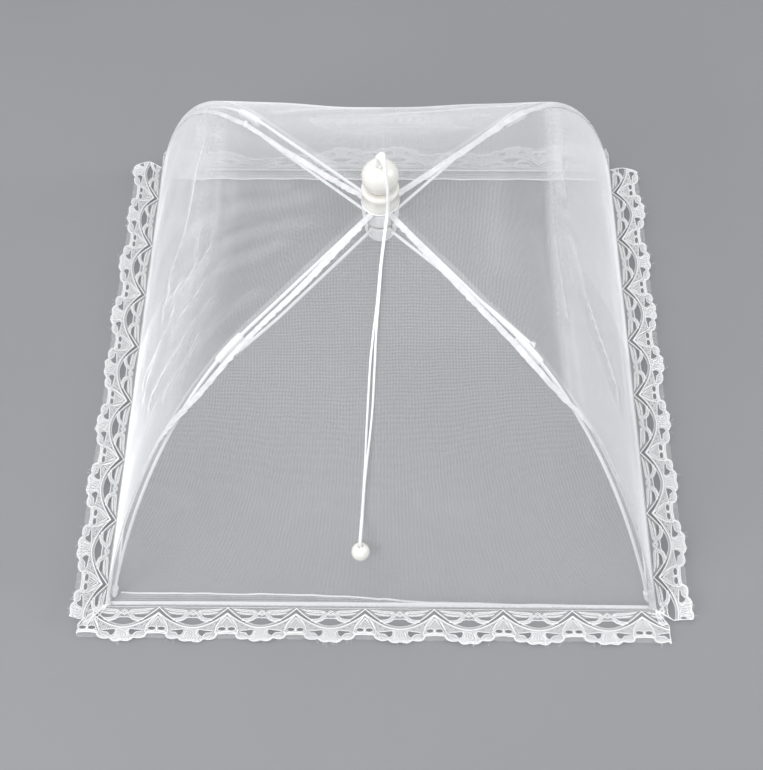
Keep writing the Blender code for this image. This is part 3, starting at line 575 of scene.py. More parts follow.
def relief(side, across, run):
    """How far the cloth stands out from its even shape: folds, and slow waves between the ribs."""
    half = half_side(run)
    share = np.clip(np.abs(across) / half, 0, 1)
    out = np.zeros(across.shape)
    for rise, away in fold_lines(side, across, run):
        out += rise * MM * (np.exp(-away**2) - 0.3 * np.exp(-((away - 2.0) / 1.1) ** 2))
    phase = 1.7 * SIDES.index(side)
    waves = (np.sin(across * 61 + 0.6 * np.sin(run * 44 + phase) + phase) * np.sin(run * 37 + phase)
             + 0.6 * np.sin(across * 118 - run * 52 + 2 * phase))
    out += WAVES * waves
    edge = np.clip((FULL_RUN - run) / (12 * MM), 0, 1) * np.clip((run - 6 * MM) / (14 * MM), 0, 1)
    return out * (1 - share**6) * edge


def section_at(run):
    """The cloth's half side and height at a run, and how far out and up it heads there."""
    return [np.interp(run, RUNS, values) for values in (*PROFILE.T, *FALLS.T)]


def cloth(side, across, run, lift=0.0):
    """Points and outward normals of the front's cloth at (across, run), lifted along the normal."""
    half, height, outs, ups = section_at(run)
    normal = unit(np.stack([0 * across, ups, outs], axis=-1))
    share = np.clip(across / half, -1, 1)
    sag = SAG * np.sin(math.pi * np.clip(run / SAG_RUN, 0, 1)) ** 2 * (1 - share**2) ** 2
    place = np.stack([across, -half, height], axis=-1)
    return place + normal * (lift - sag + relief(side, across, run))[..., None], normal


NET_PITCH = 0.80 * MM
NET_RADIUS = 0.043 * MM
NET_STEP = 5.0 * MM
NET_FOOT = 0.8 * MM
NET_JITTER = 0.03
NET_WANDER = 0.10 * MM
# The threads that run down lie this far under the even cloth, and those across as far over it
NET_LAYER = 0.05 * MM


def net_half(name, side, hand):
    """One half of a panel's net: threads that run down it, and threads that run across it."""
    skein = Skein()
    rng = random.Random(f"net {side} {hand}")
    last = FULL_RUN - NET_FOOT
    for index in range(int(HEM_HALF / NET_PITCH)):
        across = (index + 0.5 + rng.uniform(-NET_JITTER, NET_JITTER)) * NET_PITCH
        first = max(run_at(across), 1.0 * MM)
        if last - first < 2 * MM:
            continue
        run = np.linspace(first, last, max(2, int((last - first) / NET_STEP) + 1))
        wander = NET_WANDER * np.sin(run * 310 + index * 0.04)
        points, normals = cloth(side, hand * (across + wander), run, -NET_LAYER)
        skein.strand(points, normals, NET_RADIUS, sides=3, ends=False)
    for index in range(int((last - CLAMP_RUN) / NET_PITCH)):
        run = CLAMP_RUN + (index + 0.5 + rng.uniform(-NET_JITTER, NET_JITTER)) * NET_PITCH
        half = half_side(run)
        across = np.linspace(0, half, max(2, int(half / NET_STEP) + 1))
        wander = NET_WANDER * np.sin(across * 290 + index * 0.04)
        points, normals = cloth(side, hand * across, run + wander, NET_LAYER)
        skein.strand(points, normals, NET_RADIUS, sides=3, ends=False)
    return skein.piece(name, "net", 90.0 * SIDES.index(side), sharp=180.0)


# How much light the net holds by itself, and how much more at a seam and at the hem; on a fold it holds
# more, partly for doubled cloth and partly as a painted highlight along the ridge
VEIL_DENSITY, SEAM_DENSITY, HEM_DENSITY, FOLD_THICKENING_AND_HIGHLIGHT = 0.05, 0.12, 0.20, 0.045
# How much whiter the net is painted down each wall, as added density: a painted brightening for the side
# light, and for the thicker look of a net seen edge-on (added density, run where it starts, run where it is
# full)
WALL_PAINTED_BRIGHTENING = {"front": (0.0, 100, 120), "right": (0.30, 99, 107), "back": (0.16, 40, 70),
                  "left": (0.26, 80, 128)}


def veil_half(name, side, hand):
    """The same half as one thin sheet, thicker along the seam and the hem."""
    runs = np.concatenate([np.linspace(0.0, 9 * MM, 5)[:-1], np.linspace(9 * MM, FULL_RUN - 0.6 * MM, 140)])
    shares = np.concatenate([np.linspace(0, 0.9, 76), np.linspace(0.9, 1.0, 19)[1:]])
    run = np.repeat(runs[:, None], len(shares), axis=1)
    across = half_side(run) * shares[None, :]
    points, _ = cloth(side, hand * across, run)
    to_seam = (half_side(run) - across) / MM
    to_hem = (FULL_RUN - run) / MM
    density = VEIL_DENSITY + SEAM_DENSITY * (1 - np.clip((to_seam - 2.2) / 1.6, 0, 1))
    density += HEM_DENSITY * (1 - np.clip((to_hem - 4.0) / 2.0, 0, 1))
    # Painted brightening: the walls' added density stands in for light from the side and for the edge-on
    # view
    added, start, full = WALL_PAINTED_BRIGHTENING[side]
    density += added * np.interp(run, (start * MM, full * MM), (0, 1))
    # Along each fold's ridge the veil is denser: partly doubled cloth, partly a painted highlight streak
    for rise, away in fold_lines(side, across, run):
        density += FOLD_THICKENING_AND_HIGHLIGHT * rise * np.exp(-(1.1 * away) ** 2)
    density *= 0.45 + 0.55 * np.clip((run - 12 * MM) / (20 * MM), 0, 1)
    skein = Skein()
    skein.sheet(points, veiling=density)
    return skein.piece(name, "veil", 90.0 * SIDES.index(side), sharp=180.0)


# How far each side's turned-in allowance lies in from its hem: (across, depth) in millimetres
ALLOWANCES = {
    "front": ((-175, 9.0), (-50, 8.6), (-16, 7.2), (5, 5.8), (30, 4.2), (90, 3.2), (175, 2.6)),
    "right": ((-175, 5.0), (0, 5.5), (175, 6.0)),
    "back": ((-175, 10.0), (0, 10.5), (175, 10.5)),
    "left": ((-175, 5.0), (0, 5.5), (175, 5.5)),
}
# How far apart the allowance's own threads are drawn, in millimetres
ALLOWANCE_PITCHES = {"front": 1.5, "right": 1.0, "back": 0.42, "left": 1.0}


def allowance_half(name, side, hand):
    """The hem's raw allowance, turned in and lying on the table inside the cover, with its cut edge."""
    places, depths = zip(*ALLOWANCES[side])

    def laid(line):
        across, share = line[:, 0], line[:, 1]
        depth = np.interp(hand * across, places, depths)
        depth = depth + 0.16 * np.sin(across * 0.12 + hand) + 0.08 * np.sin(across * 0.33)
        inward = 1.0 + share * (depth - 1.0)
        lie = 0.5 + 0.4 * share * (1 + np.sin(across * 0.19 + hand))
        return np.stack([hand * (across - inward * across / HALF), -(HALF - inward), lie], axis=1) * MM

    skein = Skein()
    along = np.linspace(0, HALF, 90)
    for share, wide in ((0.95, 0.72), (0.78, 0.10), (0.6, 0.07), (0.42, 0.07), (0.24, 0.07)):
        skein.strand(laid(np.stack([along, 0 * along + share], axis=1)), (0, 0, 1), wide * MM, 0.12 * MM)
    pitch = ALLOWANCE_PITCHES[side]
    for start in np.arange(0.5, HALF - 1, pitch):
        line = np.array([(start, 0.0), (start + 0.3 * pitch, 0.5), (start + 0.5 * pitch, 1.0)])
        skein.strand(laid(line), (0, 0, 1), 0.09 * MM, 0.06 * MM, sides=3)
    return skein.piece(name, "hem", 90.0 * SIDES.index(side))


HEM_BOW = 0.6 * MM
HEM_INSET = 1.6 * MM
STITCH_PITCH = 2.5 * MM


def hem_line(hand, across, proud, level):
    """A line along the hem's face, which bows in a little between the corners."""
    bow = HEM_BOW * (1 - (across / HEM_HALF) ** 2)
    return np.stack([hand * across, -(HEM_HALF - HEM_INSET - bow + proud), level], axis=1)


def hem_half(name, side, hand):
    """The rolled hem: a narrow band on the table with a line of stitches."""
    skein = Skein()
    rng = random.Random(f"hem {side} {hand}")
    across = np.linspace(0, HEM_HALF - 0.3 * MM, 150)
    drift = np.cumsum([rng.uniform(-1, 1) for _ in across])
    drift = (drift - np.linspace(drift[0], drift[-1], len(drift))) * 0.02
    ripple = drift + 0.10 * np.sin(across * 900) + 0.08 * np.sin(across * 2300 + 1)
    width = (1.75 + 0.12 * ripple) * MM
    line = hem_line(hand, across, 0.1 * MM * ripple, width + 0.1 * MM)
    lean = unit(np.array([0.0, -0.93, 0.37]))
    skein.strand(line, lean, width, 0.55 * MM, sides=10)
    for index in range(int(HEM_HALF / STITCH_PITCH) - 1):
        start = (index + 0.4) * STITCH_PITCH
        shift = rng.uniform(-0.12, 0.12) * MM
        ends = np.array([start, start + 0.8 * MM, start + 1.6 * MM])
        level = np.array([2.70, 2.76, 2.70]) * MM + shift
        face = np.array([0.15, 0.27, 0.15]) * MM
        skein.strand(hem_line(hand, ends, face, level), lean, 0.15 * MM, sides=5)
    return skein.piece(name, "hem", 90.0 * SIDES.index(side))


# The lace. One repeat is drawn in shares: along it from apex to apex, and out from the hem.

REPEAT = 43.75
LACE_WIDTH = 25.0
LACE_HIDDEN = 1.8
LACE_HAIRS = 22
LACE_REACH = LACE_WIDTH - LACE_HIDDEN
HEM_FACE = 174.6
LACE_PHASES = {"front": 34.4, "right": 21.6, "back": 12.0, "left": 30.0}
# At a side's two ends: how steeply its lace rises from the table, in degrees, how far it runs past the
# hem's corner, and how much of that its outer edge gives up, in millimetres
LACE_ENDS = {
    "front": ((3.0, 16.0, 1.0), (2.0, 7.0, 0.6)),
    "right": ((10.0, 7.0, 0.6), (12.0, 2.0, 14.0)),
    "back": ((74.0, -1.0, 8.0), (97.0, -1.0, 10.0)),
    "left": ((28.0, 4.0, 15.0), (26.0, 12.0, 3.0)),
}


def upper_swag(along):
    return 0.11 + 0.46 * (1 - abs(2 * along - 1) ** 1.85)


def lower_swag(along, drop=0.0):
    return 0.25 + 0.385 * (1 - abs(2 * along - 1) ** 1.8) + drop


def mirrored(line):
    return [(1 - along, out) for along, out in line]


def ring_of(along, out, wide, high, count=12):
    turns = [2 * math.pi * step / count for step in range(count + 1)]
    return [(along + wide * math.cos(turn), out + high * math.sin(turn)) for turn in turns]


LENS_TOP = ((0.262, 0.492), (0.30, 0.468), (0.345, 0.452), (0.385, 0.425), (0.405, 0.385), (0.44, 0.372),
            (0.47, 0.362), (0.5, 0.378), (0.53, 0.362), (0.56, 0.372), (0.595, 0.385), (0.615, 0.425),
            (0.655, 0.452), (0.70, 0.468), (0.738, 0.492))
LENS = (*LENS_TOP, *[(share, lower_swag(share, -0.012)) for share in (0.70, 0.62, 0.54, 0.46, 0.38, 0.30)])
FAN_HOLE = ((0.20, 0.712), (0.25, 0.698), (0.31, 0.69), (0.385, 0.672), (0.402, 0.735), (0.38, 0.82),
            (0.34, 0.862), (0.315, 0.82), (0.285, 0.765), (0.21, 0.758))
EDGE = ((0.0, 0.778), (0.055, 0.787), (0.11, 0.795), (0.138, 0.80), (0.148, 0.86), (0.175, 0.905),
        (0.225, 0.932), (0.285, 0.928), (0.325, 0.905), (0.345, 0.93), (0.365, 0.965), (0.405, 0.992),
        (0.455, 0.99), (0.5, 0.962), (0.545, 0.985), (0.60, 0.998), (0.645, 0.965), (0.665, 0.925),
        (0.695, 0.905), (0.735, 0.928), (0.79, 0.925), (0.832, 0.895), (0.852, 0.85), (0.862, 0.80),
        (0.89, 0.795), (0.945, 0.787), (1.0, 0.778))
EYELETS = ((0.068, 0.665), (0.932, 0.665))
SPECKS = ((0.155, 0.50), (0.215, 0.575), (0.165, 0.64), (0.30, 0.635), (0.462, 0.715))
LEAF = ((0.075, 0.135), (0.16, 0.150), (0.26, 0.165), (0.36, 0.172), (0.42, 0.195), (0.40, 0.225),
        (0.33, 0.222), (0.24, 0.215), (0.15, 0.185))
LOWER_LEAF = ((0.135, 0.225), (0.22, 0.245), (0.30, 0.258), (0.37, 0.262), (0.35, 0.288), (0.27, 0.285),
              (0.18, 0.262))
GAP = ((0.175, 0.325), (0.23, 0.305), (0.30, 0.312), (0.352, 0.315), (0.345, 0.36), (0.29, 0.375),
       (0.22, 0.372))
WING = ((0.415, 0.205), (0.455, 0.26), (0.425, 0.335), (0.40, 0.37), (0.375, 0.405), (0.335, 0.435),
        (0.27, 0.452), (0.215, 0.445), (0.20, 0.405), (0.27, 0.395), (0.335, 0.375), (0.375, 0.325),
        (0.378, 0.26))


def crossings(outline, start, end):
    """Where a straight line enters and leaves an outline, as shares of the line."""
    found = []
    step = end - start
    for first, second in zip(outline, np.roll(outline, -1, axis=0)):
        edge = second - first
        area = step[0] * edge[1] - step[1] * edge[0]
        if abs(area) > 1e-12:
            gap = first - start
            along = (gap[0] * edge[1] - gap[1] * edge[0]) / area
            on_edge = (gap[0] * step[1] - gap[1] * step[0]) / area
            if 0 <= on_edge < 1:
                found.append(along)
    return found


def hatched(outlines, angle, pitch):
    """Parallel threads that fill the first outline and skip the others, in millimetres."""
    scale = np.array([REPEAT, LACE_WIDTH])
    shapes = [np.array(outline, float) * scale for outline in outlines]
    way = np.array([math.cos(math.radians(angle)), math.sin(math.radians(angle))])
    side = np.array([-way[1], way[0]])
    spread = shapes[0] @ side
    lines = []
    for level in np.arange(spread.min() + pitch / 2, spread.max(), pitch):
        start = side * level - way * 100
        end = side * level + way * 100
        cuts = sorted(cut for shape in shapes for cut in crossings(shape, start, end))
        for enter, leave in zip(cuts[::2], cuts[1::2]):
            if leave - enter > 0.5 / 200:
                lines.append([start + (end - start) * enter, start + (end - start) * leave])
    return lines


def lace_repeat():
    """The threads of one repeat: (points in millimetres, half width, half height)."""
    scale = np.array([REPEAT, LACE_WIDTH])
    threads = []

    def lay(line, width):
        line = np.array(line, float) * scale
        threads.append((line, np.broadcast_to(width, len(line)), np.max(width) * 0.7))

    def both(line, width):
        lay(line, width)
        lay(mirrored(line), width)

    def fill(outlines, angle, pitch, width, height):
        for line in hatched(outlines, angle, pitch):
            threads.append((np.array(line), np.full(2, width), height))

    shares = np.linspace(0, 1, 31)
    lay([(share, 0.03) for share in shares], 0.40)
    lay([(share, 0.098 + 0.004 * math.sin(share * 50)) for share in shares], 0.16)
    thin = [0.38 - 0.27 * max(0.0, 1 - (abs(share - 0.5) / 0.27) ** 4) for share in shares]
    lay([(share, upper_swag(share)) for share in shares], thin)
    lay([(share, upper_swag(share) + 0.028) for share in shares[8:23]], 0.10)
    lay([(share, lower_swag(share)) for share in shares], 0.40)
    band = [(share, lower_swag(share, 0.012)) for share in np.linspace(0.0, 1.0, 27)]
    dense = [*band, *EDGE[::-1]]
    holes = [FAN_HOLE, mirrored(FAN_HOLE)]
    holes += [ring_of(along, out, 0.056, 0.052)[:-1] for along, out in EYELETS]
    holes += [ring_of(along, out, 0.014, 0.018, 6)[:-1] for along, out in (*SPECKS, *mirrored(SPECKS))]
    fill([dense, *holes], 62.0, 0.98, 0.235, 0.16)
    fill([dense, *holes], -58.0, 1.3, 0.14, 0.12)
    ground = [(share, upper_swag(share) - 0.01) for share in np.linspace(0.06, 0.94, 25)]
    ground = [(0.02, 0.09), *ground, (0.98, 0.09)]
    for angle in (34.0, -34.0):
        fill([ground, LENS, GAP, mirrored(GAP)], angle, 1.25, 0.075, 0.06)
    for shape in (LEAF, LOWER_LEAF, WING):
        for outline in (shape, mirrored(shape)):
            fill([outline], 48.0, 0.66, 0.20, 0.15)
            lay([*outline, outline[0]], 0.20)
    for turn in range(6):
        angle = math.pi * turn / 3 + 0.52
        petal = ring_of(0.5 + 0.032 * math.cos(angle), 0.235 + 0.05 * math.sin(angle), 0.015, 0.022, 8)
        lay(petal, 0.24)
    lay(LENS_TOP, 0.30)
    for hole in (FAN_HOLE, mirrored(FAN_HOLE)):
        lay([*hole, hole[0]], 0.26)
    for along, out in EYELETS:
        lay(ring_of(along, out, 0.060, 0.058), 0.27)
    lay(EDGE, 0.36)
    lay([(along, out - 0.035) for along, out in EDGE], 0.20)
    both([(0.0, 0.25), (0.05, 0.36), (0.10, 0.47), (0.145, 0.60), (0.165, 0.73), (0.142, 0.82)], 0.34)
    both([(0.0, 0.35), (0.045, 0.45), (0.085, 0.545)], 0.24)
    both([(0.0, 0.735), (0.07, 0.745), (0.13, 0.745)], 0.24)
    both([(0.0, 0.58), (0.0, 0.75)], 0.26)
    for lean in (-0.075, -0.038, 0.0, 0.038, 0.075):
        lay([(0.5 + lean * 0.6, 0.64), (0.5 + lean, 0.80), (0.5 + lean * 1.35, 0.965)], 0.26)
    both([(0.41, 0.66), (0.422, 0.77), (0.39, 0.87), (0.355, 0.93)], 0.28)
    both([(0.425, 0.90), (0.442, 0.85), (0.475, 0.865), (0.48, 0.92), (0.452, 0.945), (0.425, 0.93)], 0.24)
    both([(0.20, 0.86), (0.235, 0.835), (0.272, 0.86), (0.255, 0.90)], 0.22)
    fringe = [(0.0, 0.80), (0.145, 0.82), (0.155, 0.905), (0.08, 0.93), (0.0, 0.92)]
    for angle in (40.0, -40.0):
        for outline in (fringe, mirrored(fringe)):
            fill([outline], angle, 1.1, 0.06, 0.05)
    return threads


LACE_THREADS = lace_repeat()


def kept(line, measure):
    """The parts of a line where a measure of its points isn't below zero."""
    values = measure(line)
    if (values >= 0).all():
        return [line]
    parts, part = [], []
    for index in range(len(line)):
        if index and (values[index] >= 0) != (values[index - 1] >= 0):
            share = values[index - 1] / (values[index - 1] - values[index])
            part.append(line[index - 1] + (line[index] - line[index - 1]) * share)
            if values[index] < 0:
                parts.append(np.array(part))
                part = []
        if values[index] >= 0:
            part.append(line[index])
    if len(part) > 1:
        parts.append(np.array(part))
    return [part for part in parts if len(part) > 1]


def lace_end(side, hand, out):
    """How far along the side the lace runs at one of its ends, for a way out from the hem."""
    _, past, given_up = LACE_ENDS[side][hand > 0]
    share = np.clip(out / LACE_REACH, 0, 1)
    return HALF + past * np.clip(2.2 * share, 0, 1) - given_up * (1 - np.sqrt(1 - 0.98 * share**2))


# Ends that run into the next lace and have no edge of their own
OPEN_ENDS = (("front", -1), ("left", 1))
# Gathered cloth at two corners: (first tip, last tip, threads), in millimetres past the hem's corner
GATHERS = {("front", -1): ((14.0, 4.0), (12.0, 17.0), 15), ("front", 1): ((6.0, 2.0), (2.0, 12.0), 12)}


def corner_room(side, line):
    """How far inside the lace's two ends each point lies."""
    return np.minimum(*[lace_end(side, hand, line[:, 1]) - hand * line[:, 0] for hand in (-1, 1)])


def lace_place(side, line):
    """Points of the lace: it rises a little from the table and ripples towards its edge."""
    phase = 2.1 * SIDES.index(side)
    across, out = line[:, 0], line[:, 1]
    share = np.clip(out / LACE_REACH, 0, 1.2)
    tilt = np.interp(across, (-HALF, HALF), [end[0] for end in LACE_ENDS[side]])
    tilt = tilt * (1 + 0.12 * np.sin(across * 0.043 + phase))
    tilt = np.radians(tilt + 3.0 * (1 + np.sin(across * 0.16 + phase) * np.sin(across * 0.067)) * share)
    reach = np.where(out > 0, out * np.cos(tilt), out)
    lift = 0.45 + np.where(out > 0, out * np.sin(tilt), 0)
    lift += 0.10 * np.sin(across * 0.9 + out * 1.1) + 0.8 * np.clip((np.abs(across) - HALF) / 4, 0, 1)
    shift = 0.30 * np.sin(out * 0.33 + across * 0.17 + phase) + 0.4 * np.sin(across * 0.05 + phase)
    return np.stack([across + shift * share, -(HEM_FACE + reach), lift], axis=1) * MM


def lace_half(name, side, hand):
    skein = Skein()
    rng = random.Random(f"lace {side} {hand}")
    up = np.array([0.0, 0.0, 1.0])

    def lay(line, width, height):
        rows = np.column_stack([line, width])
        for part in kept(rows, lambda points: corner_room(side, points)):
            for piece in kept(part, lambda points: hand * points[:, 0]):
                if np.linalg.norm(np.diff(piece[:, :2], axis=0), axis=1).sum() > 0.3:
                    skein.strand(lace_place(side, piece), up, piece[:, 2] * MM, height * MM)

    for index in range(-2, 9):
        start = -HALF + LACE_PHASES[side] + REPEAT * index
        if hand * (start + REPEAT / 2) < -REPEAT:
            continue
        tug = np.array([rng.uniform(-0.4, 0.4), rng.uniform(-0.5, 0.5)])
        for points, width, height in LACE_THREADS:
            arch = np.sin(math.pi * np.clip(points[:, :1] / REPEAT, 0, 1))
            swing = np.clip(points[:, 1:] / LACE_WIDTH, 0, 1) * tug * arch
            lay(points + swing + np.array([start, -LACE_HIDDEN]), width, height)
        for _ in range(LACE_HAIRS):
            along = rng.uniform(0, 1)
            out = np.interp(along, [point[0] for point in EDGE], [point[1] for point in EDGE])
            root = np.array([start + along * REPEAT, out * LACE_WIDTH - LACE_HIDDEN])
            reach = rng.uniform(0.6, 1.6) if rng.random() < 0.8 else rng.uniform(2.0, 3.6)
            lean = rng.uniform(-0.8, 0.8) * reach
            tip = root + np.array([lean, reach])
            bow = (root + tip) / 2 + np.array([rng.uniform(-0.3, 0.3) * reach, 0.0])
            lay(np.array([root, bow, tip]), np.full(3, 0.055), 0.05)
    outs = np.linspace(0, 21.5, 30)
    edge = np.stack([hand * (lace_end(side, hand, outs) - 0.2), outs], axis=1)
    if (side, hand) not in OPEN_ENDS:
        skein.strand(lace_place(side, edge), up, 0.30 * MM, 0.22 * MM)
    first, last, count = GATHERS.get((side, hand), ((0.0, 0.0), (0.0, 0.0), 0))
    for turn in np.linspace(0, 1, count):
        tip = (1 - turn) * np.array(first) + turn * np.array(last)
        tip = tip * rng.uniform(0.72, 1.0) + (HALF, 0.0)
        root = np.array([HEM_FACE + rng.uniform(-0.8, 0.8), rng.uniform(-0.5, 0.8)])
        bow = (root + tip) / 2 + (rng.uniform(-1.2, 1.2), rng.uniform(-1.2, 1.2))
        line = np.array([root, bow, tip]) * (hand, 1)
        skein.strand(lace_place(side, line) + up * 0.6 * MM, up, rng.uniform(0.14, 0.34) * MM, 0.2 * MM)
    return skein.piece(name, "lace", 90.0 * SIDES.index(side), sharp=50.0)


def dress_cloth():
    """Each panel, hem and lace in two halves."""
    for index, side in enumerate(SIDES):
        for hand, corner in ((1, CORNERS[index]), (-1, CORNERS[index - 1])):
            tail = f"{side}_by_{corner}"
            net = net_half(f"net_{tail}", side, hand)
            veil = veil_half(f"veil_{tail}", side, hand)
            turned_in = allowance_half(f"allowance_{tail}", side, hand)
            hem = hem_half(f"rolled_hem_{tail}", side, hand)
            lace = lace_half(f"lace_{tail}", side, hand)
            middle = Vector((-hand * HEM_HALF / 2, -HEM_HALF / 2, 0))
            middle.rotate(Matrix.Rotation(math.radians(90.0 * index), 3, "Z"))
            for made, slot, node in (
                (net, "mesh_cloth", "panel"), (veil, "mesh_cloth", "panel"),
                (turned_in, "mesh_cloth", "hem"), (hem, "seam_tape", "hem"), (lace, "lace_cloth", "lace"),
            ):
                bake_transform(made)
                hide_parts(f"{node}_{side}")


dress_cloth()


# The corners: bowed wire, its cap and sleeve, the taped seam and the stretcher

RIB_LINE = (
    (7.6, 188.4), (104.75, 172.44), (119.42, 167.8), (133.29, 160.57), (146.93, 150.68),
    (160.22, 138.39), (173.09, 123.94), (185.45, 107.62), (197.29, 89.71), (208.55, 70.46),
    (219.22, 50.14), (229.28, 29.04), (238.73, 7.35),
)
RUNNER_PIVOT = (6.8, 172.6)
SLEEVE_PIVOT = (112.3, 167.5)
STRETCHER_SIDE = 4.3
EYE_SIDE = 1.6


def in_plane(points):
    return np.array([(reach, 0.0, height) for reach, height in points]) * MM


def wire_eye(skein, centre, ring, half_wide, half_thick):
    """A flattened ring of wire round an axis along Y."""
    turns = circle(28)
    out = np.stack([np.cos(turns), 0 * turns, np.sin(turns)], axis=1)
    thick = np.broadcast_to((0, half_thick, 0), out.shape)
    skein.rings(hoops(centre + out * ring, out * half_wide, thick, circle(10)) * MM, wrap=True)


def rib_wire(name, turn):
    """The bowed wire, which starts in the side of its own eye."""
    straight = np.linspace(RIB_LINE[0], RIB_LINE[1], 6)[:-1]
    line = resampled(in_plane([*straight, *RIB_LINE[1:]]), 0.003)
    line[0] += unit(line[1] - line[0]) * EYE_SIDE * MM
    skein = Skein()
    skein.strand(line, (0, 1, 0), 1.0 * MM, sides=16)
    wire_eye(skein, (RIB_LINE[0][0], 0, RIB_LINE[0][1]), 1.75, 0.55, 0.85)
    return skein.piece(name, "wire", turn)


def rib_cap(name, turn):
    line = in_plane(RIB_LINE)
    end = line[-1]
    along = unit(line[-1] - line[-2])
    side = np.array([0, 1.0, 0])
    up = np.cross(along, side)
    reach, radius = np.array([
        (-7.6, 1.15), (-7.6, 1.70), (-7.4, 1.95), (-6.9, 2.15), (-6.4, 2.2), (-4.0, 2.2), (-3.8, 2.08),
        (-3.5, 2.08), (-3.3, 2.2), (-0.6, 2.2), (0.2, 2.12), (0.9, 1.9), (1.5, 1.45), (1.85, 0.9),
        (1.95, 0.4),
    ]).T[:, :, None] * MM
    skein = Skein()
    skein.rings(hoops(end + along * reach, side * radius, up * radius, circle(24)))
    return skein.piece(name, "clip", turn)


def sleeve(name, turn):
    """A flat oval clip on the rib, crimped near both ends."""
    line = resampled(in_plane(RIB_LINE[1:4]), 0.0005)
    reach = line[:, 0]
    line = line[(reach > 103.2 * MM) & (reach < 122.8 * MM)]
    tangents = unit(np.gradient(line, axis=0))
    side = np.array([0, 1.0, 0])
    up = -np.cross(tangents, side)
    up = up * np.sign(up[:, 2:])
    shares = np.linspace(-1, 1, len(line))
    ends = (1 - np.abs(shares) ** 14) ** 0.5 * 0.18 + 0.82
    crimp = 1 - 0.07 * np.exp(-((np.abs(shares) - 0.72) / 0.05) ** 2)
    turns = circle(28, 0.5)
    across = np.sign(np.cos(turns)) * np.abs(np.cos(turns)) ** 0.75
    rise = np.sign(np.sin(turns)) * np.abs(np.sin(turns)) ** 0.75
    rings = (line - up * 1.2 * MM)[:, None, :] + (ends * crimp)[:, None, None] * (
        2.3 * MM * across[None, :, None] * side + 3.2 * MM * rise[None, :, None] * up[:, None, :])
    skein = Skein()
    skein.rings(rings[:, ::-1])
    return skein.piece(name, "clip", turn)


def stretcher(name, turn):
    start = np.array([RUNNER_PIVOT[0], 0, RUNNER_PIVOT[1]])
    outer = np.array([SLEEVE_PIVOT[0], STRETCHER_SIDE, SLEEVE_PIVOT[1]])
    flat = unit(np.array([outer[0] - start[0], 0, outer[2] - start[2]]))
    knee = outer - flat * 30
    lead = unit(knee - start)
    bend = [knee - lead * 7, knee - lead * 3.2 + flat * 0.2, knee + flat * 3.2 - lead * 0.2, knee + flat * 7]
    line = [start + lead * EYE_SIDE, *[start + lead * reach for reach in (12, 30, 50)], *bend,
            outer - flat * 12, outer - flat * 1.5]
    skein = Skein()
    line = resampled(np.array(line) * MM, 0.002)
    skein.strand(line, (0, 0, 1), 0.9 * MM, sides=14)
    wire_eye(skein, start, 1.75, 0.55, 0.85)
    wire_eye(skein, outer, 1.62, 0.5, 0.68)
    return skein.piece(name, "wire", turn)


# Where each seam's tape lies: (half side of the dome, way towards the next panel counter-clockwise,
# half width)
TAPES = {
    "front_right": ((8, -3.4, 2.2), (30, -5.0, 2.5), (60, -6.8, 2.3), (76, -7.6, 2.1), (87, -7.6, 2.1),
                    (96, -6.4, 2.0), (103, -4.6, 1.9), (110, -0.4, 1.9), (116, 2.2, 1.8), (121, 4.0, 1.7),
                    (130, 5.4, 1.6), (139, 5.6, 1.5), (150, 4.2, 1.4), (162, 1.6, 1.5), (174, 0, 4.2)),
    "back_right": ((8, -5.0, 2.0), (39, -5.0, 2.3), (48, -5.0, 2.3), (57, -4.2, 2.3), (73, -4.0, 2.1),
                   (82, -4.4, 2.0), (96, -3.6, 1.8), (107, -3.0, 1.6), (126, -2.0, 1.4), (162, 0, 1.2),
                   (174, 0, 3.0)),
    "back_left": ((8, 6.5, 1.9), (20, 8.4, 2.1), (31, 9.6, 2.2), (47, 10.8, 2.2), (56, 11.8, 2.0),
                  (77, 12.0, 1.8), (90, 12.0, 1.8), (104, 10.0, 1.6), (126, 6.0, 1.4), (162, 1.0, 1.2),
                  (174, 0, 3.0)),
    "front_left": ((8, 4.0, 2.2), (25, 5.5, 2.4), (45, 7.4, 2.3), (55, 7.8, 2.1), (68, 7.6, 1.9),
                   (79, 8.0, 1.8), (88, 7.8, 1.8), (97, 7.2, 1.9), (103, 6.0, 2.0), (110, 2.8, 2.2),
                   (117, -0.6, 2.0), (122, -2.8, 1.9), (130, -4.3, 1.8), (139, -5.0, 1.8), (150, -4.8, 1.8),
                   (160, -4.4, 1.9), (168, -3.6, 2.4), (174, -1.0, 4.2)),
}
TAPE_HAIRS = 110


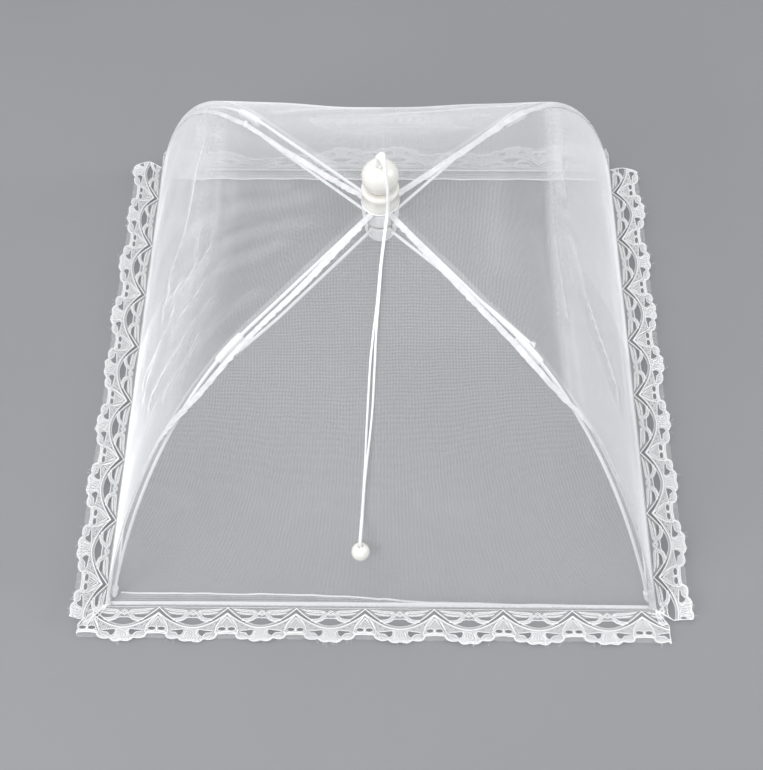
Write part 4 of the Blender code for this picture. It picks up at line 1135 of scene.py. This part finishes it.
def seam_tape(name, corner, turn):
    """The seam's binding: a crinkled, ragged strip sewn along one side of the corner."""
    first, last = run_at(8 * MM), float(np.interp(-1.2 * MM, -PROFILE[:, 1], RUNS))
    runs = np.linspace(first, last, 300)
    rng = random.Random(name)
    waves = [(rng.uniform(300, 2600), rng.uniform(0, 6.3), rng.uniform(0.4, 1.0)) for _ in range(14)]

    def crinkle(shift):
        total = sum(size * np.sin(runs * rate + phase + shift * (1 + size)) for rate, phase, size in waves)
        return total / 3.2

    half, height, outs, ups = section_at(runs)
    places, asides, widths = (np.array(row) * MM for row in zip(*TAPES[corner]))
    aside, width = np.interp(half, places, asides), np.interp(half, places, widths)
    root = math.sqrt(2)
    rings = []
    for place in np.linspace(-1, 1, 9):
        across = aside + place * (width + 0.28 * MM * crinkle(3 * np.sign(place)))
        lift = (0.32 + 0.26 * crinkle(place * 1.7) * (0.4 + 0.6 * abs(place))) * MM
        reach = root * half - np.hypot(across, 0.5 * MM) / root - ups * np.clip(lift, 0.1 * MM, None) * root
        rings.append(np.stack([reach, across / root, height + outs * lift], axis=1))
    outer = np.array(rings).transpose(1, 0, 2)
    normal = unit(np.stack([root * ups, 0 * ups, -outs], axis=1))[:, None, :]
    skein = Skein()
    skein.rings(np.concatenate([outer, outer[:, ::-1] + normal * 0.25 * MM], axis=1))
    for _ in range(TAPE_HAIRS):
        at = rng.randrange(4, len(runs) - 4)
        hand = rng.choice((-1, 1))
        edge = outer[at, 0 if hand < 0 else -1]
        reach = rng.uniform(0.3, 1.3) * MM
        tip = edge + reach * np.array([rng.uniform(-0.6, 0.3), hand, -rng.uniform(0.05, 0.5)])
        bow = (edge + tip) / 2 + np.array([0, 0, -0.2 * reach])
        skein.strand(np.array([edge, bow, tip]), (0, 0, 1), 0.07 * MM, sides=3)
    return skein.piece(name, "tape", turn, sharp=40.0)


def dress_corners():
    for index, corner in enumerate(CORNERS):
        turn = CORNER_TURNS[index]
        arm = f"rib_arm_{corner}"
        dress(rib_wire(f"rib_wire_{corner}", turn), arm, "white_wire", f"rib_{corner}")
        dress(rib_cap(f"rib_cap_{corner}", turn), arm, "white_plastic", f"tip_{corner}")
        dress(sleeve(f"clip_{corner}", turn), arm, "white_plastic", f"sleeve_{corner}")
        dress(seam_tape(f"seam_tape_{corner}", corner, turn), arm, "seam_tape", f"seam_{corner}")
        dress(stretcher(f"stretcher_wire_{corner}", turn), f"stretcher_arm_{corner}", "white_wire",
              f"stretcher_{corner}")
        finish_solid(f"rivet_{corner}", "pin", 0.12)


# The hub and the knob

def finish_solid(node, finish, edge=0.0):
    """A solid that keeps its own shape gets its finish, and soft edges."""
    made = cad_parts[node]
    made.data.materials.clear()
    made.data.materials.append(FINISHES[finish])
    if edge:
        rounding = made.modifiers.new("soft_edges", "BEVEL")
        rounding.width = edge * MM
        rounding.segments = 2
        rounding.limit_method = "ANGLE"
        rounding.angle_limit = math.radians(35)


def knob_ball():
    skein = Skein()
    skein.lathe(round_profile(10.0 * MM, 5.3 * MM, 1.6 * MM, 61, 0.04 * MM), 96)
    ball = skein.piece("knob_ball_turned", "knob", shift=(0, 0, 0.21448))
    return dress(ball, "crown_hub", "white_plastic", "knob_ball")


def knob_barrel():
    """A barrel with rounded shoulders, a slight waist and a bore for the crown's stem."""
    low, top = 193.9, 205.7
    outside = []
    for share in np.linspace(0, 1, 25):
        level = low + 1.1 + (top - 1.9 - low - 1.1) * share
        outside.append((10.4 - 0.45 * math.sin(math.pi * share) ** 1.3, level))
    shoulder = [(8.6 + 1.8 * math.cos(turn), top - 1.8 + 1.8 * math.sin(turn))
                for turn in np.linspace(0.1, math.pi / 2, 8)]
    foot = [(9.5 + 0.9 * math.sin(turn), low + 0.9 - 0.9 * math.cos(turn))
            for turn in np.linspace(0, math.pi / 2 - 0.1, 6)]
    rim = [(2.4, top), (1.9, top - 0.5), (1.9, 204.2), (3.7, 204.1), (3.7, low)]
    profile = [*foot, *outside, *shoulder, *rim]
    skein = Skein()
    skein.lathe([(radius * MM, height * MM) for radius, height in profile[::-1]], 96)
    barrel = skein.piece("knob_barrel_turned", "knob")
    return dress(barrel, "crown_hub", "white_plastic", "knob_barrel")


def clamp_disc():
    """The thin washer that holds the cloth down."""
    skein = Skein()
    profile = [(3.7, 192.6), (3.7, 193.6), (9.9, 193.6), (10.35, 193.5), (10.6, 193.25), (10.6, 192.95),
               (10.35, 192.65), (9.9, 192.6)]
    skein.lathe([(radius * MM, height * MM) for radius, height in profile], 96)
    washer = skein.piece("clamp_disc", "clip")
    return dress(washer, "crown_hub", "white_plastic", "clamp_washer")


def stop_knot():
    """The knot that stops the lift cord under the runner: three loops wound over each other."""
    skein = Skein()
    centre, yarn = np.array([0, 0, 0.16135]), 1.15 * MM
    for tilt, spin in ((0.35, 0.0), (-0.45, 1.2), (0.2, 2.4)):
        loop = []
        for turn in circle(39):
            point = Vector((1.75 * math.cos(turn), 1.75 * math.sin(turn), 0.75 * math.sin(2 * turn + spin)))
            point.rotate(Matrix.Rotation(tilt, 3, "X") @ Matrix.Rotation(spin, 3, "Z"))
            loop.append(point)
        loop = np.array(loop) * MM + centre
        tangents = unit(np.roll(loop, -1, axis=0) - np.roll(loop, 1, axis=0))
        outward = unit(loop - centre)
        skein.rings(hoops(loop, yarn * np.cross(outward, tangents), yarn * outward, circle(10)), wrap=True)
    knot = skein.piece("stop_knot", "yarn")
    return dress(knot, "runner_hub", "cord_fibre", "cord_knot")


dress_corners()
knob_ball()
knob_barrel()
clamp_disc()
stop_knot()
finish_solid("crown", "hub", 0.3)
finish_solid("runner", "hub", 0.3)
finish_solid("crown_ring", "pin")
finish_solid("runner_ring", "pin")


# Floor and light

def set_stage():
    mesh = bpy.data.meshes.new("floor")
    mesh.from_pydata([(-3, -3, 0), (3, -3, 0), (3, 3, 0), (-3, 3, 0)], [], [(0, 1, 2, 3)])
    mesh.materials.append(table_top())
    floor = bpy.data.objects.new("floor", mesh)
    floor.location.z = -0.0002
    bpy.context.collection.objects.link(floor)
    world = bpy.data.worlds.new("room")
    world.use_nodes = True
    world.node_tree.nodes["Background"].inputs["Color"].default_value = (0.93, 0.95, 1.0, 1)
    world.node_tree.nodes["Background"].inputs["Strength"].default_value = 0.57
    bpy.context.scene.world = world
    for name, place, size, power in (
        ("overhead_light", (-0.25, -0.15, 1.5), 1.2, 12.3),
        ("left_light", (-1.1, -0.95, 0.85), 0.9, 10.0),
        ("right_light", (1.3, 0.0, 0.8), 0.9, 6.5),
    ):
        lamp = bpy.data.lights.new(name, "AREA")
        lamp.shape = "DISK"
        lamp.size = size
        lamp.energy = power
        lit = bpy.data.objects.new(name, lamp)
        lit.location = place
        lit.rotation_euler = (Vector((0, 0, 0.08)) - Vector(place)).to_track_quat("-Z", "Y").to_euler()
        bpy.context.collection.objects.link(lit)
    bpy.context.scene.view_settings.view_transform = "Standard"


set_stage()
